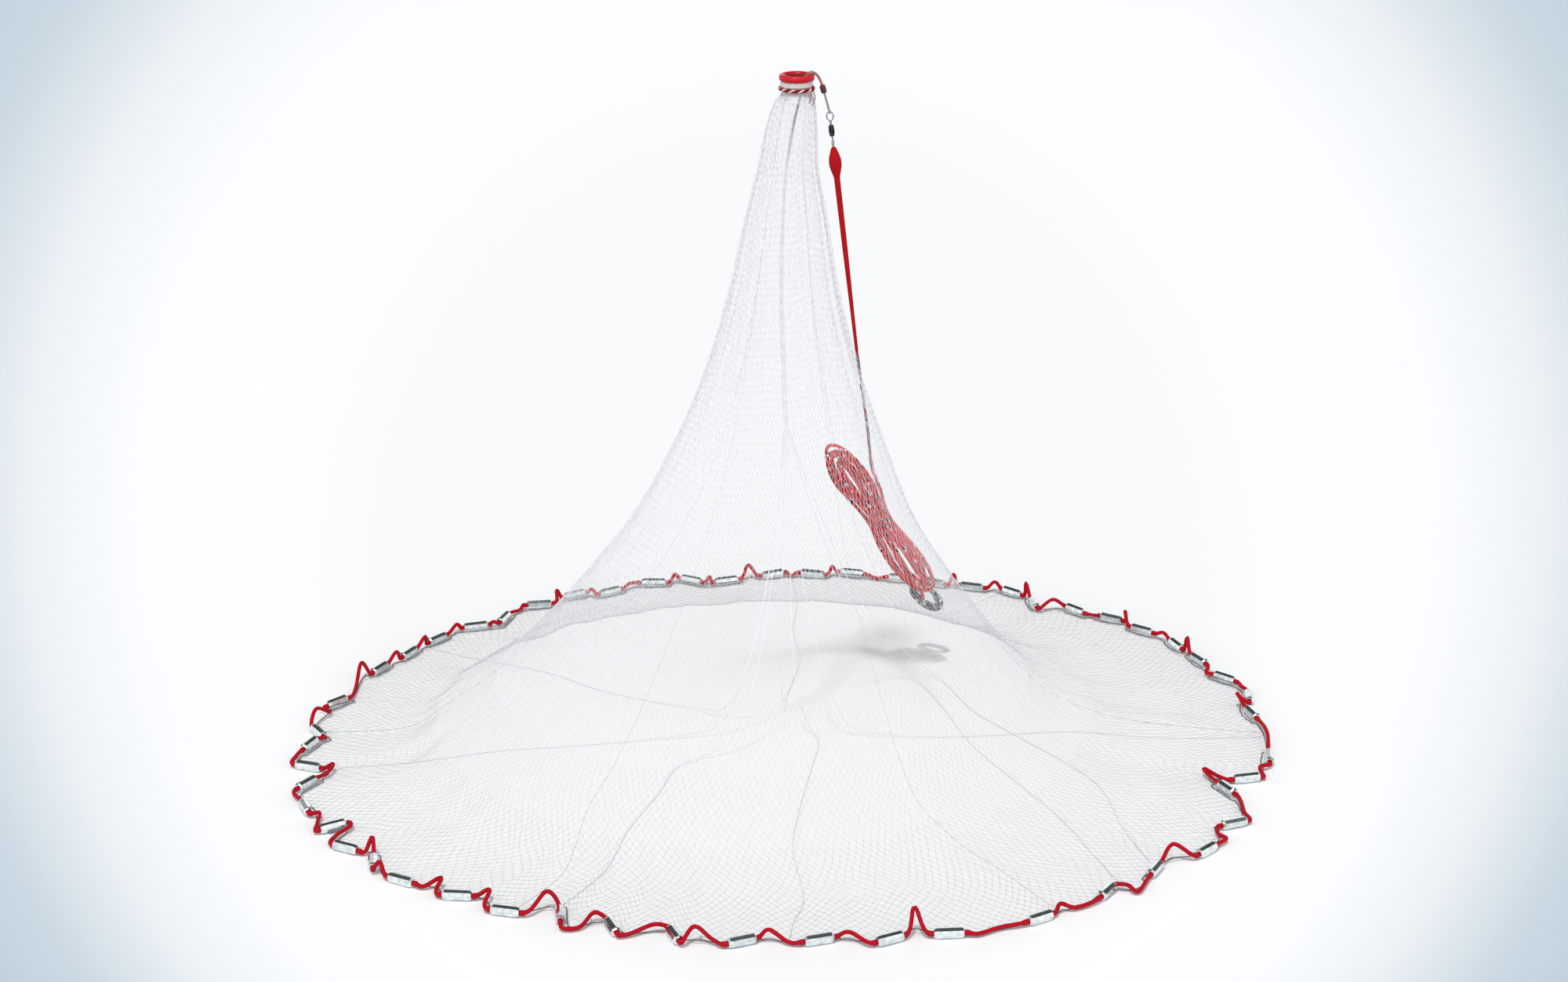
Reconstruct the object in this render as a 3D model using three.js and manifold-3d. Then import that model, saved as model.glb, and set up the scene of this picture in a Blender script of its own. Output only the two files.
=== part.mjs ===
// Cast net standing as it does when it is held up by its horn: a netting cone that flares into a flat
// skirt, ringed by a lead line with tube weights. Millimetres, +Z up, origin on the ground in the middle.
import * as THREE from "three";
import { mergeVertices } from "three/addons/utils/BufferGeometryUtils.js";
import Module from "manifold-3d";

// ---------------------------------------------------------------- driving dimensions
const GAP = 0.3; // clearance between pieces that touch

const WEIGHT_LENGTH = 35;
const WEIGHT_ACROSS = 12; // across the flats
const WEIGHT_END_ACROSS = 9;
const WEIGHT_TAPER = 4;
const WEIGHT_BORE = 5.4;
const WEIGHT_SIDES = 8;
const AXIS_HEIGHT = WEIGHT_ACROSS / 2; // a weight lies on one of its flats

const LINE_RADIUS = 2;
const LINE_SIDES = 6;
const LINE_STEPS = 2; // per stretch between two route points
const LINE_LEAD = 3; // straight line beyond each end of a weight

const NET_WALL = 1;
const NET_BEARINGS = 40;
const NET_EDGE_GAP = 9; // from the lead line's middle to the netting's edge
const NET_EDGE_HEIGHT = 6;
const NET_BAND_GAP = 0.4;

const HORN_X = 13; // the horn's axis stands this far right of the origin
const HORN_TOP = 880;
const HORN_FLANGE_RADIUS = 22;
const HORN_FLANGE_HEIGHT = 6.5;
const HORN_NECK_RADIUS = 17;
const HORN_BORE_RADIUS = 14;
const HORN_BOTTOM = 850;
const HORN_SEGMENTS = 24;
const BAND_INNER_RADIUS = 19.2;
const BAND_OUTER_RADIUS = 20.6;
const BAND_TOP = 873;
const BAND_BOTTOM = 865.6;
const LASHING_RADIUS = 21.4;
const LASHING_THICKNESS = 4.4;
const LASHING_HEIGHT = 862.8;

const BRAIL_RADIUS = 0.5;
const BRAIL_SIDES = 5;
const BRAIL_STEPS = 16;
const BUNDLE_RADIUS = 2;
const OVER_RIM_STEPS = 16;
const DOWN_STEPS = 12;

const SWIVEL_TOP = [53.5, 0, 833]; // top of the upper eye
const SHEATH_END = [90.5, 24, 513];
const WIRE_RADIUS = 0.8;
const WIRE_SIDES = 8;

const HAND_LINE_RADIUS = 2.4;
const HAND_LINE_SIDES = 8;
const HAND_LINE_STEPS = 24;
const WRIST_LINE_RADIUS = 3.5;

// ---------------------------------------------------------------- routes
// The rim, anticlockwise seen from above. Each weight: x, y, heading in degrees, then the points of the
// slack lead line between it and the next weight, which lies on the ground or stands up in a loop.
const RIM = [
  [620, 66, 105, [[605, 95, 22], [608, 108, 14]]],
  [624, 125, 85, [[618, 160, 8]]],
  [600, 195, 135, [[577, 217, 6]]],
  [573, 265, 115, [[560, 300, 26]]],
  [548, 322, 110, [[533, 356, 12]]],
  [506, 382, 140, [[484, 412, 24]]],
  [467, 430, 145, [[445, 445, 5]]],
  [418, 465, 130, [[386, 482, 16]]],
  [360, 490, 100, [[350, 525, 26]]],
  [332, 540, 135, [[307, 564, 14]]],
  [274, 565, 160, [[248, 592, 16]]],
  [219, 584, 145, [[200, 605, 10]]],
  [170, 602, 165, [[135, 604, 5]]],
  [98, 624, 165, [[69, 632, 14]]],
  [40, 622, 165, [[8, 615, 5]]],
  [-20, 620, 205, [[-56, 621, 20]]],
  [-88, 590, 200, [[-113, 598, 10]]],
  [-140, 592, 150, [[-165, 603, 12]]],
  [-195, 582, 180, [[-230, 573, 8]]],
  [-258, 543, 215, [[-284, 538, 12]]],
  [-308, 528, 215, [[-334, 522, 16]]],
  [-358, 489, 190, [[-384, 468, 5]]],
  [-404, 430, 255, [[-418, 412, 8]]],
  [-442, 398, 200, [[-468, 390, 12]]],
  [-492, 346, 235, [[-506, 325, 18]]],
  [-526, 290, 245, [[-540, 265, 18]]],
  [-560, 230, 245, [[-582, 212, 22], [-584, 155, 6]]],
  [-603, 105, 230, [[-608, 72, 6], [-622, 42, 22]]],
  [-614, 0, 300, []],
  [-620, -42, 250, [[-632, -80, 6]]],
  [-612, -115, 340, [[-580, -116, 10], [-584, -140, 8]]],
  [-607, -172, 240, [[-618, -205, 6]]],
  [-598, -247, 290, [[-578, -268, 8], [-577, -296, 6]]],
  [-557, -306, 35, [[-535, -306, 7], [-550, -335, 6]]],
  [-533, -369, 330, [[-508, -380, 6], [-500, -372, 22]]],
  [-495, -412, 275, [[-484, -436, 18]]],
  [-456, -462, 330, [[-428, -478, 5], [-408, -468, 12], [-412, -490, 6]]],
  [-386, -505, 355, [[-348, -502, 12]]],
  [-326, -548, 345, [[-279, -528, 22]]],
  [-262, -558, 275, [[-256, -592, 5], [-237, -588, 5], [-222, -564, 12]]],
  [-200, -590, 290, [[-180, -607, 5], [-152, -592, 10]]],
  [-128, -612, 290, [[-105, -618, 20], [-85, -626, 8]]],
  [-51, -627, 25, [[-20, -614, 14], [2, -628, 5]]],
  [37, -623, 20, [[72, -612, 10]]],
  [118, -622, 30, [[147, -588, 30]]],
  [186, -607, 5, [[220, -606, 5], [246, -589, 5]]],
  [293, -566, 35, [[319, -536, 10], [337, -536, 5]]],
  [377, -494, 60, [[402, -480, 8], [414, -492, 5]]],
  [440, -432, 65, [[465, -394, 22]]],
  [508, -376, 50, [[536, -342, 6], [528, -328, 6]]],
  [551, -296, 25, [[568, -262, 6], [568, -228, 6]]],
  [556, -188, 115, [[533, -132, 10]]],
  [585, -154, 15, [[608, -146, 5], [606, -122, 8]]],
  [623, -86, 85, [[630, -10, 10]]],
];
// These weights of the far side are part of the lead line's own solid: every second one.
const FIRST_JOINED = 2;
const LAST_JOINED = 24;

// The netting's middle surface from the horn down: radius, height and how far its centre lies along X.
const NET_PROFILE = [
  [18.2, 872, HORN_X],
  [18.2, 857, HORN_X],
  [24, 846, 11],
  [30, 820, 7],
  [37, 760, 2],
  [50, 700, 0],
  [69, 600, -3],
  [97, 500, -5],
  [135, 400, -9],
  [182, 300, -17],
  [237, 220, -23],
  [292, 150, -28],
  [347, 90, -34],
  [402, 50, -38],
  [465, 20, -20],
  [520, 9, -3],
];
// The rows of the profile where the middle and the lowest of the three bands start.
const NET_FLARE_START = 8;
const NET_SKIRT_START = 12;

// The brails leave the bead as one bundle, pass over the horn's rim and hang down inside the cone.
const BUNDLE_OVER_RIM = [
  [44.75, 0, 864.7],
  [43, 0, 871],
  [39.8, 0, 877.4],
  [35.4, 0, 882.4],
  [30, 0, 883.6],
  [25.8, 0, 881.4],
  [23.8, 0, 875],
  [21, 0, 864],
  [14, 0, 846],
];
const BUNDLE_DOWN = [
  [17, 0, 853],
  [2, 0, 815],
  [-9, 0, 786],
  [-15, 0, 760],
  [-14, 0, 700],
  [-9, 0, 600],
  [-4, 2, 500],
  [0, 4, 420],
];
// Each brail from the bundle's end to the ground and then out to the lead line.
const BRAIL_START = [-1, 3, 440];
const BRAILS = [
  [[4, 4, 300], [14, 8, 60], [30, 8, 12], [42, -14, 4], [34, -100, 1.2], [18, -230, 1], [8, -357, 1],
    [20, -514, 1], [8, -570, 1], [3, -622, 2.5]],
  [[40, 58, 300], [95, 130, 150], [158, 195, 50], [192, 216, 12], [214, 190, 4], [249, 90, 1.2],
    [306, -7, 1], [365, -100, 1], [398, -175, 1], [414, -300, 1], [436, -398, 2.5]],
  [[34, 50, 300], [85, 118, 150], [134, 184, 50], [162, 208, 12], [182, 186, 4], [212, 90, 1.3],
    [243, -34, 1], [296, -164, 1], [340, -270, 1], [374, -390, 1], [395, -462, 2.5]],
  [[-10, -10, 300], [-40, -40, 100], [-75, -62, 14], [-105, -78, 6], [-140, -110, 2], [-160, -190, 1],
    [-195, -310, 1], [-215, -420, 1], [-240, -480, 1], [-264, -528, 2.5]],
  [[-12, 4, 300], [-50, 2, 100], [-90, 0, 14], [-125, -6, 6], [-200, -20, 1.5], [-280, -36, 1], [-370, -52, 1],
    [-480, -90, 1], [-573, -113, 2.5]],
  [[-12, 10, 300], [-46, 30, 100], [-84, 60, 14], [-115, 84, 6], [-180, 120, 1.5], [-250, 160, 1], [-330, 230, 1],
    [-430, 280, 1], [-499, 320, 2.5]],
  [[-4, 14, 300], [-6, 50, 100], [-4, 90, 14], [0, 125, 6], [10, 200, 1.5], [20, 280, 1], [10, 390, 1], [16, 500, 1],
    [9, 608, 2.5]],
  [[10, 4, 300], [46, 4, 100], [84, 2, 14], [120, -4, 6], [190, -6, 1.5], [270, 0, 1], [370, 14, 1], [500, -8, 1],
    [623, -8, 2.5]],
];

// The hand line from the sheath's end to the hank, down the back of the cone.
const HAND_LINE_ROUTE = [
  [90.6, 24.7, 512],
  [95, 43, 480],
  [100, 63, 442],
  [105, 81, 405],
  [109, 99, 367],
  [112, 114, 338],
  [111, 127, 327],
  [104.8, 137.9, 324.1],
];
// The hank's middle line: x, y, height, half its width and half its thickness.
const HANK_STATIONS = [
  [60, 152, 354, 16, 5],
  [68, 158, 340, 30, 7],
  [80, 163, 318, 36, 7.5],
  [97, 173, 286, 35, 7.5],
  [118, 187, 247, 29, 7.5],
  [137, 203, 214, 32, 7.5],
  [155, 220, 182, 34, 7.5],
  [171, 238, 150, 31, 7],
  [180, 254, 132, 24, 6],
  [185, 265, 118, 13, 5],
];
const HANK_SIDES = 12;
const HANK_OUTWARD = [0.62, 0.68, 0.39]; // the way the hank's broad side faces, off the cone
const WRIST_LONG = 27;
const WRIST_SHORT = 14;
const WRIST_STEPS = 14;
const WRIST_OUTWARD = [0.46, 0.58, 0.68];

// ---------------------------------------------------------------- materials
const paint = (color, roughness, metalness) =>
  new THREE.MeshStandardMaterial({ color, roughness, metalness });
const RED_PLASTIC = paint(0xbe0d17, 0.3, 0);
const RED_CORD = paint(0xb81c2c, 0.7, 0);
const CREAM_TWINE = paint(0xf1e6cf, 0.8, 0);
const WHITE_MESH = paint(0xf2f4f6, 0.5, 0);
const CLEAR_LINE = paint(0xb9babf, 0.4, 0);
const ZINC = paint(0xc8d0ce, 0.35, 1);
const SWIVEL_WIRE = paint(0x8d9092, 0.3, 1);
const SWIVEL_DARK = paint(0x3a3c3c, 0.35, 1);
const MAROON = paint(0x4d1f24, 0.5, 0);
const RED_SHEATH = paint(0xc21221, 0.6, 0);
const SPECKLED_BRAID = paint(0xb96a72, 0.8, 0);
const DARK_BRAID = paint(0x5c5c5c, 0.8, 0);

// ---------------------------------------------------------------- geometry helpers
const point = ([x, y, z]) => new THREE.Vector3(x, y, z);

const net = new THREE.Group();

function add(name, geometry, material) {
  const mesh = new THREE.Mesh(geometry, material);
  mesh.name = name;
  net.add(mesh);
  return mesh;
}

// Six times the volume that an indexed triangle mesh encloses, positive when its faces point outwards.
function signedVolume(positions, index) {
  const [a, b, c] = [0, 1, 2].map(() => new THREE.Vector3());
  let sum = 0;
  for (let i = 0; i < index.length; i += 3) {
    a.fromArray(positions, 3 * index[i]);
    b.fromArray(positions, 3 * index[i + 1]);
    c.fromArray(positions, 3 * index[i + 2]);
    sum += a.dot(b.cross(c));
  }
  return sum;
}

// A closed solid through rings of points. A looped one joins its last ring to its first, and an open one
// has a flat cap at each end.
function ringSolid(rings, looped) {
  const around = rings[0].length;
  const positions = rings.flat().flatMap((p) => p.toArray());
  const index = [];
  const last = looped ? rings.length : rings.length - 1;
  for (let i = 0; i < last; i += 1) {
    const here = i * around;
    const next = ((i + 1) % rings.length) * around;
    for (let j = 0; j < around; j += 1) {
      const k = (j + 1) % around;
      index.push(here + j, next + j, next + k, here + j, next + k, here + k);
    }
  }
  if (!looped) {
    const end = (rings.length - 1) * around;
    for (let j = 1; j < around - 1; j += 1) {
      index.push(0, j, j + 1, end, end + j + 1, end + j);
    }
  }
  if (signedVolume(positions, index) < 0) index.reverse();
  const geometry = new THREE.BufferGeometry();
  geometry.setAttribute("position", new THREE.Float32BufferAttribute(positions, 3));
  geometry.setIndex(index);
  return geometry;
}

// A polygon ring square to a direction, with one flat facing away from the reference vector.
function polygonRing(centre, tangent, reference, width, height, sides) {
  const side = new THREE.Vector3().crossVectors(tangent, reference).normalize();
  const rise = new THREE.Vector3().crossVectors(side, tangent).normalize();
  return Array.from({ length: sides }, (_, k) => {
    const angle = ((k + 0.5) / sides) * 2 * Math.PI - Math.PI / 2;
    return centre
      .clone()
      .addScaledVector(side, width * Math.cos(angle))
      .addScaledVector(rise, height * Math.sin(angle));
  });
}

// A looped round bar along stations of { at, radius }.
function loopedBar(stations, reference, sides) {
  const rings = stations.map(({ at, radius }, i) => {
    const before = stations[(i + stations.length - 1) % stations.length].at;
    const after = stations[(i + 1) % stations.length].at;
    const into = at.clone().sub(before).normalize();
    const out = after.clone().sub(at).normalize();
    return polygonRing(at, into.add(out).normalize(), reference, radius, radius, sides);
  });
  return ringSolid(rings, true);
}

// An open round tube through points, as an extruded polygon.
function tube(points, radius, sides, steps) {
  const section = new THREE.Shape();
  for (let k = 0; k < sides; k += 1) {
    const angle = (k / sides) * 2 * Math.PI;
    const corner = [radius * Math.cos(angle), radius * Math.sin(angle)];
    if (k === 0) section.moveTo(...corner);
    else section.lineTo(...corner);
  }
  section.closePath();
  const extrudePath = new THREE.CatmullRomCurve3(points.map(point), false, "centripetal");
  return new THREE.ExtrudeGeometry(section, { steps, extrudePath, bevelEnabled: false });
}

// A turned piece about its own Z axis. The profile is radius and height pairs, and it runs upwards on the
// outside. One that has a bore closes on itself.
function turned(profile, segments) {
  const outline = profile.map(([radius, height]) => new THREE.Vector2(radius, height));
  if (profile[0][0] > 0) outline.push(outline[0].clone());
  return new THREE.LatheGeometry(outline, segments).rotateX(Math.PI / 2);
}

// Points a piece made along +Z in another direction and moves it into place.
function place(mesh, at, direction) {
  mesh.position.copy(at);
  mesh.quaternion.setFromUnitVectors(new THREE.Vector3(0, 0, 1), direction);
  return mesh;
}

const wasm = await Module();
wasm.setup();

function joined(geometries) {
  const solids = geometries.map((geometry) => {
    const bare = geometry.clone();
    bare.deleteAttribute("normal");
    bare.deleteAttribute("uv");
    const merged = mergeVertices(bare, 1e-4);
    return new wasm.Manifold(
      new wasm.Mesh({
        numProp: 3,
        vertProperties: new Float32Array(merged.attributes.position.array),
        triVerts: new Uint32Array(merged.index.array),
      }),
    );
  });
  const mesh = solids.reduce((sum, solid) => sum.add(solid)).getMesh();
  const geometry = new THREE.BufferGeometry();
  geometry.setAttribute("position", new THREE.BufferAttribute(mesh.vertProperties, 3));
  geometry.setIndex(new THREE.BufferAttribute(mesh.triVerts, 1));
  return geometry;
}

// ---------------------------------------------------------------- weights and lead line
const cornerRadius = (across, sides) => across / 2 / Math.cos(Math.PI / sides);
const isJoined = (i) => i >= FIRST_JOINED && i <= LAST_JOINED && i % 2 === 0;

const weights = RIM.map(([x, y, heading, slack]) => {
  const angle = THREE.MathUtils.degToRad(heading);
  return {
    centre: new THREE.Vector3(x, y, AXIS_HEIGHT),
    along: new THREE.Vector3(Math.cos(angle), Math.sin(angle), 0),
    slack: slack.map(point),
  };
});

function addWeights() {
  const half = WEIGHT_LENGTH / 2;
  const body = cornerRadius(WEIGHT_ACROSS, WEIGHT_SIDES);
  const end = cornerRadius(WEIGHT_END_ACROSS, WEIGHT_SIDES);
  const bore = cornerRadius(WEIGHT_BORE, WEIGHT_SIDES);
  const profile = [
    [bore, -half],
    [end, -half],
    [body, WEIGHT_TAPER - half],
    [body, half - WEIGHT_TAPER],
    [end, half],
    [bore, half],
  ];
  weights.forEach(({ centre, along }, i) => {
    if (isJoined(i)) return;
    // Half a facet round its own axis puts a flat underneath.
    const geometry = turned(profile, WEIGHT_SIDES).rotateZ(Math.PI / WEIGHT_SIDES).rotateY(Math.PI / 2);
    const weight = add(`weight_${String(i + 1).padStart(2, "0")}`, geometry, ZINC);
    weight.position.copy(centre);
    weight.rotation.z = Math.atan2(along.y, along.x);
  });
}

// The slack between two weights: a smooth run through its points that leaves and meets both weights straight.
function slackStations(from, to, reach) {
  const points = [
    from.centre.clone().addScaledVector(from.along, reach),
    ...from.slack,
    to.centre.clone().addScaledVector(to.along, -reach),
  ];
  const slopes = points.map((at, i) => {
    if (i === 0) return from.along.clone().multiplyScalar(at.distanceTo(points[1]));
    const before = points[i - 1];
    if (i === points.length - 1) return to.along.clone().multiplyScalar(at.distanceTo(before));
    return points[i + 1].clone().sub(before).multiplyScalar(0.5);
  });
  const stations = [points[0]];
  for (let i = 0; i + 1 < points.length; i += 1) {
    const run = new THREE.CubicBezierCurve3(
      points[i],
      points[i].clone().addScaledVector(slopes[i], 1 / 3),
      points[i + 1].clone().addScaledVector(slopes[i + 1], -1 / 3),
      points[i + 1],
    );
    stations.push(...run.getPoints(LINE_STEPS).slice(1));
  }
  return stations;
}

// The joined weights are swellings of the line itself.
function swelling({ centre, along }) {
  const half = WEIGHT_LENGTH / 2;
  const body = cornerRadius(WEIGHT_ACROSS, LINE_SIDES);
  const end = cornerRadius(WEIGHT_END_ACROSS, LINE_SIDES);
  const steps = [
    [-half - GAP, LINE_RADIUS],
    [-half, end],
    [WEIGHT_TAPER - half, body],
    [half - WEIGHT_TAPER, body],
    [half, end],
    [half + GAP, LINE_RADIUS],
  ];
  return steps.map(([offset, radius]) => ({ at: centre.clone().addScaledVector(along, offset), radius }));
}

const lineStations = weights.flatMap((weight, i) => {
  const next = weights[(i + 1) % weights.length];
  const slack = slackStations(weight, next, WEIGHT_LENGTH / 2 + LINE_LEAD);
  const plain = slack.map((at) => ({ at, radius: LINE_RADIUS }));
  return isJoined(i) ? [...swelling(weight), ...plain] : plain;
});

function addLeadLine() {
  add("lead_line", loopedBar(lineStations, new THREE.Vector3(0, 0, 1), LINE_SIDES), RED_CORD);
}

// ---------------------------------------------------------------- netting
// The edge stays inside the lead line all the way round.
function edgeRadius(bearing) {
  const reach = (2 * Math.PI) / NET_BEARINGS;
  const near = [...lineStations.map(({ at }) => at), ...weights.map(({ centre }) => centre)].filter((at) => {
    const turn = Math.atan2(at.y, at.x) - bearing;
    return Math.abs(Math.atan2(Math.sin(turn), Math.cos(turn))) <= reach;
  });
  return Math.min(...near.map((at) => Math.hypot(at.x, at.y))) - NET_EDGE_GAP;
}

// One band of the netting: a thin wall that follows part of the profile all the way round.
function addNettingBand(name, first, last) {
  const rings = Array.from({ length: NET_BEARINGS }, (_, j) => {
    const bearing = (j / NET_BEARINGS) * 2 * Math.PI;
    const whole = [...NET_PROFILE, [edgeRadius(bearing), NET_EDGE_HEIGHT, 0]].map((p) => new THREE.Vector3(...p));
    const profile = whole.slice(first, last + 1);
    if (first > 0) trim(profile, 0, 1);
    if (last < whole.length - 1) trim(profile, profile.length - 1, profile.length - 2);
    const skin = (offset) =>
      profile.map(({ x: radius, y: height, z: shift }, i) => {
        const above = profile[Math.max(i - 1, 0)];
        const below = profile[Math.min(i + 1, profile.length - 1)];
        const slope = new THREE.Vector2(below.x - above.x, below.y - above.y).normalize();
        const out = radius - slope.y * offset;
        return new THREE.Vector3(
          shift + out * Math.cos(bearing),
          out * Math.sin(bearing),
          height + slope.x * offset,
        );
      });
    return [...skin(NET_WALL / 2), ...skin(-NET_WALL / 2).reverse()];
  });
  add(name, ringSolid(rings, true), WHITE_MESH);
}

// Moves an end of a band back by half the gap between two bands.
function trim(profile, end, inner) {
  const inward = profile[inner].clone().sub(profile[end]).setLength(NET_BAND_GAP / 2);
  profile[end].add(inward);
}

function addNetting() {
  const edge = NET_PROFILE.length;
  addNettingBand("netting_neck", 0, NET_FLARE_START);
  addNettingBand("netting_flare", NET_FLARE_START, NET_SKIRT_START);
  addNettingBand("netting_skirt", NET_SKIRT_START, edge);
}

// ---------------------------------------------------------------- horn and its bindings
function addHorn() {
  const top = HORN_TOP;
  const under = HORN_TOP - HORN_FLANGE_HEIGHT;
  const round = 2; // the flange's edges and the bore's mouth are eased by this much
  const profile = [
    [HORN_BORE_RADIUS, HORN_BOTTOM],
    [HORN_NECK_RADIUS, HORN_BOTTOM],
    [HORN_NECK_RADIUS, under],
    [HORN_FLANGE_RADIUS - round, under],
    [HORN_FLANGE_RADIUS, under + round],
    [HORN_FLANGE_RADIUS, top - round],
    [HORN_FLANGE_RADIUS - round, top],
    [HORN_BORE_RADIUS + round, top],
    [HORN_BORE_RADIUS, top - round],
  ];
  add("horn", turned(profile, HORN_SEGMENTS), RED_PLASTIC).position.x = HORN_X;
}

function addBindings() {
  const band = [
    [BAND_INNER_RADIUS, BAND_BOTTOM],
    [BAND_OUTER_RADIUS, BAND_BOTTOM],
    [BAND_OUTER_RADIUS, BAND_TOP],
    [BAND_INNER_RADIUS, BAND_TOP],
  ];
  add("twine_band", turned(band, HORN_SEGMENTS), CREAM_TWINE).position.x = HORN_X;
  const lashing = Array.from({ length: 8 }, (_, k) => {
    const angle = (k / 8) * 2 * Math.PI;
    const radius = LASHING_THICKNESS / 2;
    return [LASHING_RADIUS + radius * Math.cos(angle), LASHING_HEIGHT + radius * Math.sin(angle)];
  });
  add("lashing", turned(lashing, HORN_SEGMENTS), RED_CORD).position.x = HORN_X;
}

// ---------------------------------------------------------------- brails, bead and leader
const BEAD_TOP = point([44.4, 0, 866]);
const swivelTop = point(SWIVEL_TOP);
const leaderDown = swivelTop.clone().sub(BEAD_TOP).normalize();

function addBrails() {
  const over = tube(BUNDLE_OVER_RIM, BUNDLE_RADIUS, BRAIL_SIDES, OVER_RIM_STEPS);
  const down = tube(BUNDLE_DOWN, BUNDLE_RADIUS, BRAIL_SIDES, DOWN_STEPS);
  const legs = BRAILS.map((route) => tube([BRAIL_START, ...route], BRAIL_RADIUS, BRAIL_SIDES, BRAIL_STEPS));
  add("brails", joined([over, down, ...legs]), CLEAR_LINE);
}

function addBead() {
  const length = 10;
  const [bore, body] = [2.6, 3.6];
  const profile = [
    [bore, 0],
    [body - 0.6, 0],
    [body, 1],
    [body, length - 1],
    [body - 0.6, length],
    [bore, length],
  ];
  place(add("bead", turned(profile, 12), MAROON), BEAD_TOP, leaderDown);
}

// The leader is one closed loop of line: pinched in the bead, open at the bottom, round the swivel's eye.
function addLeader() {
  const length = BEAD_TOP.distanceTo(swivelTop);
  const start = 3.5;
  const beyond = 2.6; // past the eye's wire
  const across = new THREE.Vector3(0, 1, 0);
  const halves = [
    [start, 0.9],
    [9, 1],
    [16, 1.5],
    [length - 4, 2.2],
    [length + beyond - 1, 2],
  ];
  const at = ([down, out]) =>
    BEAD_TOP.clone().addScaledVector(leaderDown, down).addScaledVector(across, out);
  const loop = [
    ...halves.map(at),
    at([length + beyond, 0]),
    ...halves.map(([down, out]) => at([down, -out])).reverse(),
  ];
  const normal = new THREE.Vector3().crossVectors(leaderDown, across);
  const stations = loop.map((centre) => ({ at: centre, radius: 0.7 }));
  add("leader", loopedBar(stations, normal, WIRE_SIDES), CLEAR_LINE);
}

// ---------------------------------------------------------------- swivel, knot sleeve and sheath
const spinDown = point(SHEATH_END).sub(swivelTop).normalize();
const along = (down) => swivelTop.clone().addScaledVector(spinDown, down);
const EYE_LENGTH = 14;
const EYE_WIDTH = 9;
const NECK_LENGTH = 3.5;
const BARREL_TOP = EYE_LENGTH + NECK_LENGTH;
const BARREL_LENGTH = 14;
const BARREL_BOTTOM = BARREL_TOP + BARREL_LENGTH;
const HEAD_RADIUS = 2.2;
const CHAMBER_RADIUS = 2.8;
const LOWER_EYE_BOTTOM = BARREL_BOTTOM + NECK_LENGTH + 9;
const SLEEVE_TOP = LOWER_EYE_BOTTOM + 1.4;
const SLEEVE_LENGTH = 40;
const SHEATH_TOP = SLEEVE_TOP + SLEEVE_LENGTH + GAP;

// A diamond wire eye with a shank whose head turns inside the barrel. Its tip points along +Z.
function eyeGeometry(length, width) {
  const across = (up, out) => new THREE.Vector3(out, 0, up);
  const half = width / 2 - WIRE_RADIUS;
  const loop = [
    across(0, 0),
    across(length * 0.3, half * 0.72),
    across(length * 0.52, half),
    across(length * 0.76, half * 0.82),
    across(length, 1.3),
    across(length, -1.3),
    across(length * 0.76, -half * 0.82),
    across(length * 0.52, -half),
    across(length * 0.3, -half * 0.72),
  ];
  const stations = loop.map((at) => ({ at, radius: WIRE_RADIUS }));
  const headDepth = NECK_LENGTH + 2;
  const shank = [
    [0, -headDepth - 1.6],
    [HEAD_RADIUS, -headDepth - 1.6],
    [HEAD_RADIUS, -headDepth],
    [WIRE_RADIUS, -headDepth],
    [WIRE_RADIUS, 0.4],
    [0, 0.4],
  ];
  return joined([
    loopedBar(stations, new THREE.Vector3(0, 1, 0), WIRE_SIDES),
    turned(shank, WIRE_SIDES),
  ]);
}

function addSwivel() {
  const up = spinDown.clone().negate();
  const upper = eyeGeometry(EYE_LENGTH, EYE_WIDTH);
  place(add("swivel_upper_eye", upper, SWIVEL_WIRE), along(EYE_LENGTH), up);
  const bore = 1.4;
  const lip = 1.5;
  const [shoulder, body] = [2.8, 3.6];
  const barrel = [
    [bore, 0],
    [shoulder, 0],
    [body, 2],
    [body, BARREL_LENGTH - 2],
    [shoulder, BARREL_LENGTH],
    [bore, BARREL_LENGTH],
    [bore, BARREL_LENGTH - lip],
    [CHAMBER_RADIUS, BARREL_LENGTH - lip],
    [CHAMBER_RADIUS, lip],
    [bore, lip],
  ];
  place(add("swivel_barrel", turned(barrel, 12), SWIVEL_DARK), along(BARREL_TOP), spinDown);
  const lower = eyeGeometry(LOWER_EYE_BOTTOM - BARREL_BOTTOM - NECK_LENGTH, 7);
  place(add("swivel_lower_eye", lower, SWIVEL_WIRE), along(BARREL_BOTTOM + NECK_LENGTH), spinDown);
}

function addSleeveAndSheath() {
  const sleeve = [
    [0, 0],
    [3, 0],
    [6.2, 10],
    [8, 19],
    [7.4, 27],
    [5, 35],
    [4.2, SLEEVE_LENGTH],
    [0, SLEEVE_LENGTH],
  ];
  place(add("knot_sleeve", turned(sleeve, 12), RED_SHEATH), along(SLEEVE_TOP), spinDown);
  const length = point(SHEATH_END).distanceTo(along(SHEATH_TOP));
  const sheath = [
    [0, 0],
    [3.8, 0],
    [3.4, length * 0.4],
    [2.4, length * 0.8],
    [2, length],
    [0, length],
  ];
  place(add("line_sheath", turned(sheath, 12), RED_SHEATH), along(SHEATH_TOP), spinDown);
}

// ---------------------------------------------------------------- hand line, hank and wrist loop
function addHandLine() {
  const route = tube(HAND_LINE_ROUTE, HAND_LINE_RADIUS, HAND_LINE_SIDES, HAND_LINE_STEPS);
  add("hand_line", route, SPECKLED_BRAID);
}

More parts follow.
